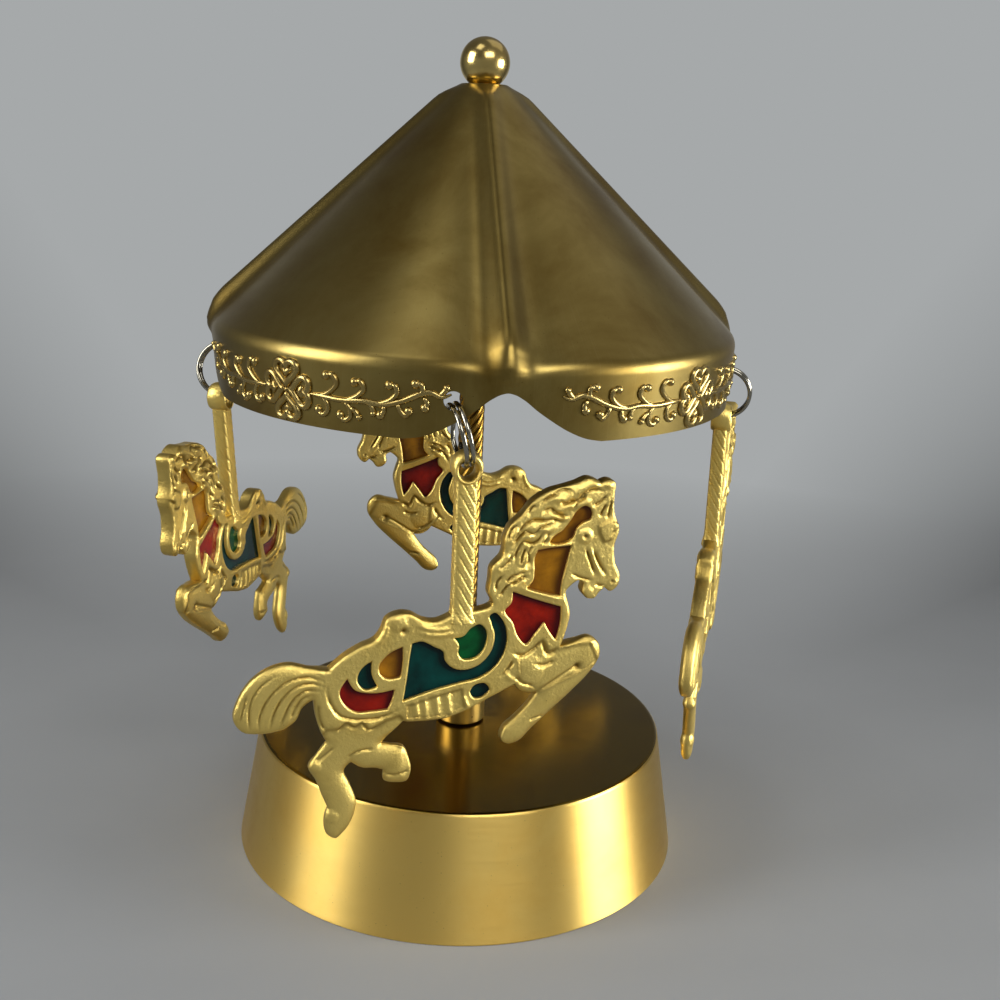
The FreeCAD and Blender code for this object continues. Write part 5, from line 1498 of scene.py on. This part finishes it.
            shape = np.exp(-(np.hypot(points[:, 0] - u, points[:, 1] - v) / radius) ** 2)
            height -= depth * shape
            depth_and_shade = np.maximum(depth_and_shade, shape)
        # Painted shade: the rounded outline edges are darkened, which is not patina.
        depth_and_shade = np.maximum(depth_and_shade, self.edge_shade * share ** 3)
        sand = np.random.default_rng(self.sand_seed).normal(0.0, self.sand, len(points))
        height += sand * (1 - self.limb_smooth * limb) * (1 - near_cell)
        return np.maximum(height, self.least_height), depth_and_shade

    def limbs(self, points: np.ndarray) -> np.ndarray:
        """Tell the rounded legs and tail, 1, from the flat body, 0, with a soft change between."""
        u, v = points.T
        tail = self.tail_u - u
        hind = np.minimum(self.hind_leg[1] - v, self.hind_leg[0] - u)
        fore_top = self.fore_leg[1] + self.fore_leg_slope * (u - self.fore_leg[0])
        fore = np.minimum(fore_top - v, u - self.fore_leg_u)
        inside = np.maximum(np.maximum(tail, hind), fore)
        return eased(np.clip(inside / self.limb_blend, 0.0, 1.0))

    def placed(self, points: np.ndarray, sideways: np.ndarray) -> np.ndarray:
        """Turn drawing points into points about the eyelet hole, in millimetres."""
        return np.column_stack([points[:, 0] * self.scale, sideways, (points[:, 1] - EYE_V) * self.scale])

    def plate(self, maker: MeshMaker, loops: Sequence[np.ndarray], points: np.ndarray,
              faces: list[list[int]], height: np.ndarray) -> None:
        """Add a plate with the same relief on both sides.

        Args:
            maker: Gathers the mesh.
            loops: The loops that walls stand on.
            points: Drawing points, the loops' first.
            faces: Triangles of one side.
            height: Height of each point over the middle plane.
        """
        count = len(points)
        both = np.vstack([self.placed(points, -height), self.placed(points, height)])
        sides = [tuple(face) for face in faces]
        sides += [tuple(count + index for index in reversed(face)) for face in faces]
        start = 0
        for loop in loops:
            size = len(loop)
            for index in range(size):
                here, after = start + index, start + (index + 1) % size
                sides.append((here, after, count + after, count + here))
            start += size
        maker.add(both, sides)

    def add_pole(self, maker: MeshMaker) -> None:
        """Add the squared pole with its slanting grooves, from inside the saddle to the knob."""
        angles = around(self.pole_sides)
        wide, deep = self.pole_half
        section = (np.abs(np.cos(angles) / wide) ** self.pole_square
                   + np.abs(np.sin(angles) / deep) ** self.pole_square) ** (-1 / self.pole_square)
        rows = []
        for v in np.arange(self.pole_foot_v, EYE_V - self.eye_radius - self.pole_gap, self.pole_step):
            turns = np.mod(v / self.pole_pitch + self.pole_starts * angles / FULL_TURN, 1.0)
            groove = np.exp(-((turns - self.groove_at) / self.groove_width) ** 2)
            bead = np.exp(-((turns - self.bead_at) / self.groove_width) ** 2)
            bead *= max(0.0, math.cos(FULL_TURN * v / self.bead_pitch))
            flare = self.foot_flare * math.exp(-((v - self.pole_foot_v) / self.foot_run) ** 2)
            radius = section + flare - self.pole_groove * groove + self.pole_bead * bead
            outline = np.column_stack([radius * np.cos(angles), np.full(len(angles), v)])
            rows.append(self.placed(outline, radius * np.sin(angles)))
        maker.closed_grid(np.stack(rows))

    def add_knob(self, maker: MeshMaker) -> None:
        """Add the rounded knob with its eyelet hole."""
        angles = around(self.knob_sides)
        inner = circle(self.knob_sides) * self.eye_radius + [0.0, EYE_V]
        reach = self.knob_radius + self.knob_drop * np.maximum(-np.sin(angles), 0.0) ** 2
        outer = np.column_stack([reach * np.cos(angles), self.knob_v + reach * np.sin(angles)])
        rows = []
        for turn in around(self.knob_rows):
            share = (1 - math.cos(turn)) / 2
            rows.append(self.placed(inner + (outer - inner) * share,
                                    np.full(len(angles), self.knob_thick * math.sin(turn))))
        maker.grid(np.stack(rows), rows_meet=True)

    def casting(self) -> bpy.types.Mesh:
        """Cast the horse.

        Returns:
            The mesh that all four horses share.
        """
        loops = [loop_of(HORSE_OUTLINE, self.step)]
        loops += [loop for shapes in self.cells().values() for loop in shapes]
        extra = self.field(loops, self.casting_insets)
        points, faces = self.triangles(loops, extra)
        height, depth_and_shade = self.heights(points, loops)
        maker = MeshMaker()
        self.plate(maker, loops, points, faces, height)
        self.add_pole(maker)
        self.add_knob(maker)
        mesh = maker.mesh("horse_casting", crease_deg=self.crease_deg)
        values = np.zeros(len(mesh.vertices))
        values[:2 * len(points)] = np.tile(depth_and_shade, 2)
        mesh.attributes.new("depth_and_shade", "FLOAT", "POINT").data.foreach_set("value", values)
        mesh.materials.append(HORSE_BRASS.material())
        return mesh

    def enamel(self, colour: str, loops: Sequence[np.ndarray]) -> bpy.types.Mesh:
        """Fill the cells of one colour, thin in the middle and drawn up along the walls, with a mask of painted
        shade for the material.

        Args:
            colour: Name of the colour.
            loops: The cells.

        Returns:
            The mesh that all four horses share.
        """
        maker = MeshMaker()
        edge_depth_and_shade = []
        level = self.half_thick - self.enamel_recess
        for loop in loops:
            extra = self.field([loop], self.enamel_insets)
            points, faces = self.triangles([loop], extra)
            away, _ = nearest_on(points, round_loop(loop))
            rise = np.exp(-away / self.meniscus_reach)
            self.plate(maker, [loop], points, faces, level + self.meniscus * rise)
            # Painted shade: the enamel darkens towards the walls up and to the right in the drawing, on top of
            # deeper colour where the meniscus is thick.
            ahead, _ = nearest_on(points + self.shade_offset, round_loop(loop))
            ahead[~is_inside(points + self.shade_offset, loop)] = 0.0
            deep = np.maximum(self.wall_depth_and_shade * rise, np.exp(-ahead / self.shade_reach))
            edge_depth_and_shade.append(np.tile(deep, 2))
        mesh = maker.mesh(f"{colour}_enamel_fill", crease_deg=self.crease_deg)
        mesh.attributes.new("depth_and_shade", "FLOAT", "POINT").data.foreach_set("value", np.concatenate(edge_depth_and_shade))
        mesh.materials.append(ENAMELS[colour].material())
        return mesh

    def hang(self, joint: dict) -> Matrix:
        """Where a horse hangs: at its eyelet, square to its swing, upright at the middle of its range.

        Args:
            joint: The record's joint that the horse swings on.

        Returns:
            The transform from the eyelet's frame to the scene.
        """
        turn = upright_turn(Vector(joint["axis"]))
        nod = Matrix.Rotation(-math.radians(sum(joint["range_deg"]) / 2), 4, "Y")
        return Matrix.Translation(joint["pos_m"]) @ turn @ nod

    def build(self) -> None:
        """Cast one horse, fill its cells, and hang four of them."""
        casting = self.casting()
        fills = {colour: self.enamel(colour, loops) for colour, loops in self.cells().items()}
        for index in HORSES:
            body = f"horse_{index}"
            place = self.hang(JOINTS[f"horse_{index}_swing"])
            piece = place_piece(f"horse_cast_{index}", casting, body, "horse_brass", f"horse_{index}")
            piece.matrix_world = place
            for colour, fill in fills.items():
                pane = place_piece(f"{colour}_fill_{index}", fill, body, f"{colour}_enamel",
                                   f"{colour}_enamel_{index}")
                pane.matrix_world = place


# Split rings


@dataclass
class SplitRing:
    """Double-wound spring wire, in millimetres, that hangs in the valance and carries a horse."""

    outer_radius: float = 6.0
    centre_drop: float = 5.7
    wire_radius: float = 0.45
    turn_gap: float = 0.24
    lean_deg: float = 14.0
    ramp_deg: float = 60.0
    end_taper: Point = (0.5, 0.9)
    steps: int = 220
    sides: int = 16

    def mesh(self) -> bpy.types.Mesh:
        """Wind two flat turns with one ramp between them, with rounded ends.

        Returns:
            The ring, with the point that it hangs from at the origin.
        """
        half = self.ramp_deg / 2
        degrees = np.linspace(half, 720.0 - half, self.steps)
        share = np.clip((degrees - 360.0 + half) / self.ramp_deg, 0.0, 1.0)
        aside = (self.wire_radius + self.turn_gap / 2) * -np.cos(np.pi * share)
        thick = np.full(self.steps, self.wire_radius)
        for row, taper in enumerate(self.end_taper):
            thick[[row, -1 - row]] *= taper
        turns = np.radians(degrees)[:, None]
        round_wire = around(self.sides)
        reach = self.outer_radius - self.wire_radius + thick[:, None] * np.cos(round_wire)
        across = aside[:, None] + thick[:, None] * np.sin(round_wire)
        height = reach * np.sin(turns) - self.centre_drop
        maker = MeshMaker()
        maker.closed_grid(np.stack([across, reach * np.cos(turns), height], axis=2))
        mesh = maker.mesh("split_ring_wound")
        mesh.materials.append(RING_NICKEL.material())
        return mesh

    def build(self) -> None:
        """Wind one ring and hang four of them, each square to the horse that it carries."""
        mesh = self.mesh()
        lean = Matrix.Rotation(-math.radians(self.lean_deg), 4, "Y")
        for index in HORSES:
            turn = upright_turn(Vector(JOINTS[f"horse_{index}_swing"]["axis"]))
            piece = place_piece(f"split_ring_wound_{index}", mesh, f"ring_{index}", "ring_nickel",
                                f"split_ring_{index}")
            piece.matrix_world = Matrix.Translation(JOINTS[f"ring_{index}_swing"]["pos_m"]) @ turn @ lean


# Studio


@dataclass(frozen=True)
class Lamp:
    """A soft lamp that looks at the object, in millimetres and watts."""

    name: str
    at: Place
    size: Point
    power: float
    aim: Place = (0.0, 0.0, 80.0)

    def hang(self) -> None:
        """Hang the lamp, out of the camera's sight."""
        light = bpy.data.lights.new(self.name, "AREA")
        light.shape = "RECTANGLE"
        light.size = self.size[0] * MM
        light.size_y = self.size[1] * MM
        light.energy = self.power
        lamp = bpy.data.objects.new(self.name, light)
        bpy.context.scene.collection.objects.link(lamp)
        place = Vector(self.at) * MM
        lamp.location = place
        lamp.visible_camera = False
        lamp.rotation_euler = (Vector(self.aim) * MM - place).to_track_quat("-Z", "Y").to_euler()


LAMPS = (
    Lamp("left_lamp", (-720, -180, 390), (380, 500), 5.7),
    Lamp("right_lamp", (720, -220, 150), (360, 300), 6.6),
    Lamp("roof_lamp", (480, 250, 950), (700, 700), 0.6),
    Lamp("eave_lamp", (-300, -200, 950), (350, 350), 0.5),
    Lamp("front_lamp", (250, -900, 800), (700, 400), 6.0),
)


@dataclass
class Studio:
    """Floor, light and camera, in millimetres."""

    floor_radius: float = 6000.0
    floor_sides: int = 64
    floor_fade: Point = (130.0, 360.0)
    floor_colour: Colour = (138, 140, 141)
    floor_shade: float = 0.93
    floor_cloud_scale: float = 14.0
    floor_cloud_span: Point = (0.2, 0.8)
    floor_roughness: float = 0.9
    haze: Colour = (166, 169, 170)
    haze_top: Point = (0.14, 0.4)
    dark_span: Point = (-0.6, 0.7)
    dark_level: Point = (0.09, 0.2)
    camera_turn_deg: float = -7.49
    camera_at: Place = (4.4204, -280.0, 157.3126)
    camera_pitch: float = 0.2715
    camera_yaw: float = 0.0091
    camera_roll: float = 0.0448
    lens: float = 47.37
    sensor: float = 36.0
    clip_start: float = 10.0

    def floor(self) -> None:
        """Lay the plain pale floor, which fades into the haze of the room far from the object."""
        maker = MeshMaker()
        rim = np.zeros((self.floor_sides, 3))
        rim[:, :2] = circle(self.floor_sides) * self.floor_radius
        maker.add(rim, [tuple(range(self.floor_sides))])
        mesh = maker.mesh("studio_floor")
        material = bpy.data.materials.new("studio_floor")
        material.use_nodes = True
        sheet = NodeSheet(material.node_tree)
        low, high = self.floor_cloud_span
        clouds = sheet.effect(Effects.tarnish(), {"Scale": self.floor_cloud_scale, "Low": low,
                                                  "High": high}).outputs["Mask"]
        pale = linear(self.floor_colour)
        colour = sheet.mix(clouds, pale, tuple(self.floor_shade * value for value in pale[:3]) + (1.0,))
        shader = material.node_tree.nodes["Principled BSDF"]
        material.node_tree.links.new(colour, shader.inputs["Base Color"])
        shader.inputs["Roughness"].default_value = self.floor_roughness
        place = sheet.put("ShaderNodeTexCoord").outputs["Object"]
        away = sheet.put("ShaderNodeVectorMath", {0: place}, operation="LENGTH").outputs["Value"]
        far = sheet.span(away, self.floor_fade[0] * MM, self.floor_fade[1] * MM)
        haze = sheet.put("ShaderNodeEmission", {"Color": self.hazed(sheet, place), "Strength": 1.0})
        both = sheet.put("ShaderNodeMixShader", {0: far, 1: shader.outputs[0], 2: haze.outputs[0]})
        result = material.node_tree.nodes["Material Output"]
        material.node_tree.links.new(both.outputs[0], result.inputs["Surface"])
        mesh.materials.append(material)
        floor = bpy.data.objects.new("studio_floor", mesh)
        bpy.context.scene.collection.objects.link(floor)

    def hazed(self, sheet: NodeSheet, way: bpy.types.NodeSocket) -> bpy.types.NodeSocket:
        """Colour of the haze in a direction.

        Args:
            sheet: Where the nodes go.
            way: The direction, or a place on the floor.

        Returns:
            The colour's socket.
        """
        parts = sheet.put("ShaderNodeSeparateXYZ", {0: way}).outputs
        room = sheet.effect(Effects.room_haze(), {})
        sheet.tree.links.new(parts[0], room.inputs["X"])
        sheet.tree.links.new(parts[1], room.inputs["Y"])
        return sheet.mix(room.outputs["Share"], (0.0, 0.0, 0.0, 1.0), linear(self.haze))

    def world(self) -> None:
        """Light the room: the haze's grey along the horizon, dim overhead and dimmer on the left."""
        world = bpy.data.worlds.new("studio_room")
        world.use_nodes = True
        bpy.context.scene.world = world
        sheet = NodeSheet(world.node_tree)
        direction = sheet.put("ShaderNodeTexCoord").outputs["Generated"]
        parts = sheet.put("ShaderNodeSeparateXYZ", {0: direction}).outputs
        side = sheet.span(parts[0], *self.dark_span, *self.dark_level)
        dark = sheet.put("ShaderNodeCombineColor", {0: side, 1: side, 2: side}).outputs[0]
        high = sheet.span(parts[2], *self.haze_top)
        colour = sheet.mix(high, self.hazed(sheet, direction), dark)
        background = world.node_tree.nodes["Background"]
        world.node_tree.links.new(colour, background.inputs["Color"])
        background.inputs["Strength"].default_value = 1.0

    def camera(self) -> None:
        """Set the camera where the photograph was taken from."""
        level = math.cos(self.camera_pitch)
        sight = Vector((math.sin(self.camera_yaw) * level, math.cos(self.camera_yaw) * level,
                        -math.sin(self.camera_pitch)))
        right = Vector((math.cos(self.camera_yaw), -math.sin(self.camera_yaw), 0.0))
        up = right.cross(sight)
        rolled = math.cos(self.camera_roll) * right + math.sin(self.camera_roll) * up
        upright = -math.sin(self.camera_roll) * right + math.cos(self.camera_roll) * up
        turn = Matrix.Rotation(math.radians(self.camera_turn_deg), 4, "Z")
        axes = Matrix((rolled, upright, -sight)).transposed().to_4x4()
        data = bpy.data.cameras.new("photo_camera")
        data.sensor_width = self.sensor
        data.lens = self.lens
        data.clip_start = self.clip_start * MM
        camera = bpy.data.objects.new("photo_camera", data)
        bpy.context.scene.collection.objects.link(camera)
        camera.matrix_world = turn @ Matrix.Translation(Vector(self.camera_at) * MM) @ axes
        bpy.context.scene.camera = camera

    def build(self) -> None:
        """Set up the studio."""
        self.floor()
        self.world()
        for lamp in LAMPS:
            lamp.hang()
        self.camera()
        bpy.context.scene.view_settings.view_transform = "Standard"


def dress_nodes() -> None:
    """Give every CAD node its finish, the hidden movement too."""
    slots = {part["node"]: part["material_slot"] for part in frame["record"]["subparts"]}
    for name, node in frame["nodes"].items():
        finish = FINISH_OF_NODE.get(name, FINISH_OF_SLOT[slots[name]])
        for slot in node.material_slots:
            slot.material = finish.material()
        log.info("%s: %s", name, finish.name)


def main() -> None:
    """Build every sub-assembly in order."""
    logging.basicConfig(level=logging.INFO, format="%(name)s: %(message)s")
    Studio().build()
    dress_nodes()
    Base().build()
    canopy = Canopy()
    canopy.build()
    ScrollBand(canopy).build()
    SplitRing().build()
    Horse().build()


if __name__ == "__main__":
    main()
